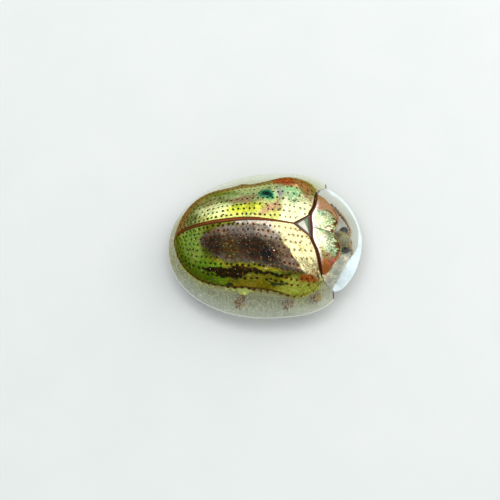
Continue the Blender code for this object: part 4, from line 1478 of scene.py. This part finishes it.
def soft_light(name, way, distance, size, radiance, tint):
    """A square soft light, in millimetres, that shines on the beetle from a direction."""
    data = bpy.data.lights.new(name, "AREA")
    data.shape = "RECTANGLE"
    data.size, data.size_y = size[0] * MM, size[1] * MM
    data.color = tint
    data.energy = radiance * math.pi * data.size * data.size_y
    light = bpy.data.objects.new(name, data)
    bpy.context.scene.collection.objects.link(light)
    way = Vector(way).normalized()
    light.location = way * distance * MM
    light.rotation_mode = "QUATERNION"
    light.rotation_quaternion = way.to_track_quat("Z", "Y")


def make_studio():
    bm = bmesh.new()
    bmesh.ops.create_grid(bm, x_segments=8, y_segments=8, size=FLOOR_SIZE / 2)
    mesh = joined_mesh("floor", [bm])
    floor = bpy.data.objects.new("floor", mesh)
    bpy.context.scene.collection.objects.link(floor)
    material, tree = new_material("pale_floor")
    surface(tree, cuticle(tree, blend(tree, grain(tree, 0.4), (0.7, 0.72, 0.69), (0.76, 0.77, 0.75)), 0.8))
    mesh.materials.append(material)
    world = bpy.data.worlds.new("studio")
    world.use_nodes = True
    world.node_tree.nodes["Background"].inputs["Color"].default_value = (0.9, 0.95, 1.0, 1.0)
    world.node_tree.nodes["Background"].inputs["Strength"].default_value = 0.8
    bpy.context.scene.world = world
    soft_light("front_light", (0.66, 0.32, 0.66), 60, (80, 70), 1.25, (1.0, 0.98, 0.93))
    soft_light("top_light", (-0.35, 0.55, 0.9), 60, (40, 40), 1.4, (1.0, 1.0, 0.97))
    soft_light("near_light", (-0.2, -1.0, 0.45), 60, (40, 25), 0.9, (0.97, 1.0, 0.95))


def make_beetle():
    margin = wing_margin_material()
    wing_case_skin(1, LEFT_GOLD, left_marks, margin)
    wing_case_skin(-1, RIGHT_GOLD, right_marks, margin)
    pronotum_skin([pronotum_gold_material(), pronotum_margin_material()])
    scutellum_skin(scutellum_material())
    trunk = trunk_material()
    seams = sternite_seams()
    trunk_skin("abdomen_skin", TRUNK_REAR_X + 0.03, WAIST_X - 0.01, seams, (), trunk)
    trunk_skin("thorax_skin", WAIST_X + 0.01, THORAX_FRONT_X, (0.62,), THORAX_CREASES, trunk)
    trunk_skin("prothorax_skin", THORAX_FRONT_X + 0.03, PROTHORAX_FRONT_X, (), (0.0,), trunk)
    amber = plain_cuticle("amber_cuticle", (0.3, 0.125, 0.022), (0.58, 0.33, 0.08), 0.28, 3.5, 6.0, 0.4)
    horn = plain_cuticle("dark_horn", (0.09, 0.03, 0.008), (0.2, 0.08, 0.022), 0.3, 6.0, 2.0, 0.3)
    green = plain_cuticle("head_cuticle", (0.14, 0.095, 0.02), (0.4, 0.32, 0.09), 0.32, 4.0, 11.0, 0.3)
    black = plain_cuticle("eye_cuticle", (0.004, 0.004, 0.005), (0.01, 0.009, 0.008), 0.24, 8.0, 0.5, 0.0)
    black.node_tree.nodes["Principled BSDF"].inputs["Specular IOR Level"].default_value = 0.2
    head_skin([green, horn])
    for side in (1, -1):
        eye_skin(side, black)
        antenna_skin(side, [amber])
        for pair in LEG_LINES:
            leg_skin(pair, side, [amber, horn])


bpy.context.scene.view_settings.view_transform = "Standard"
make_camera()
make_studio()
make_beetle()
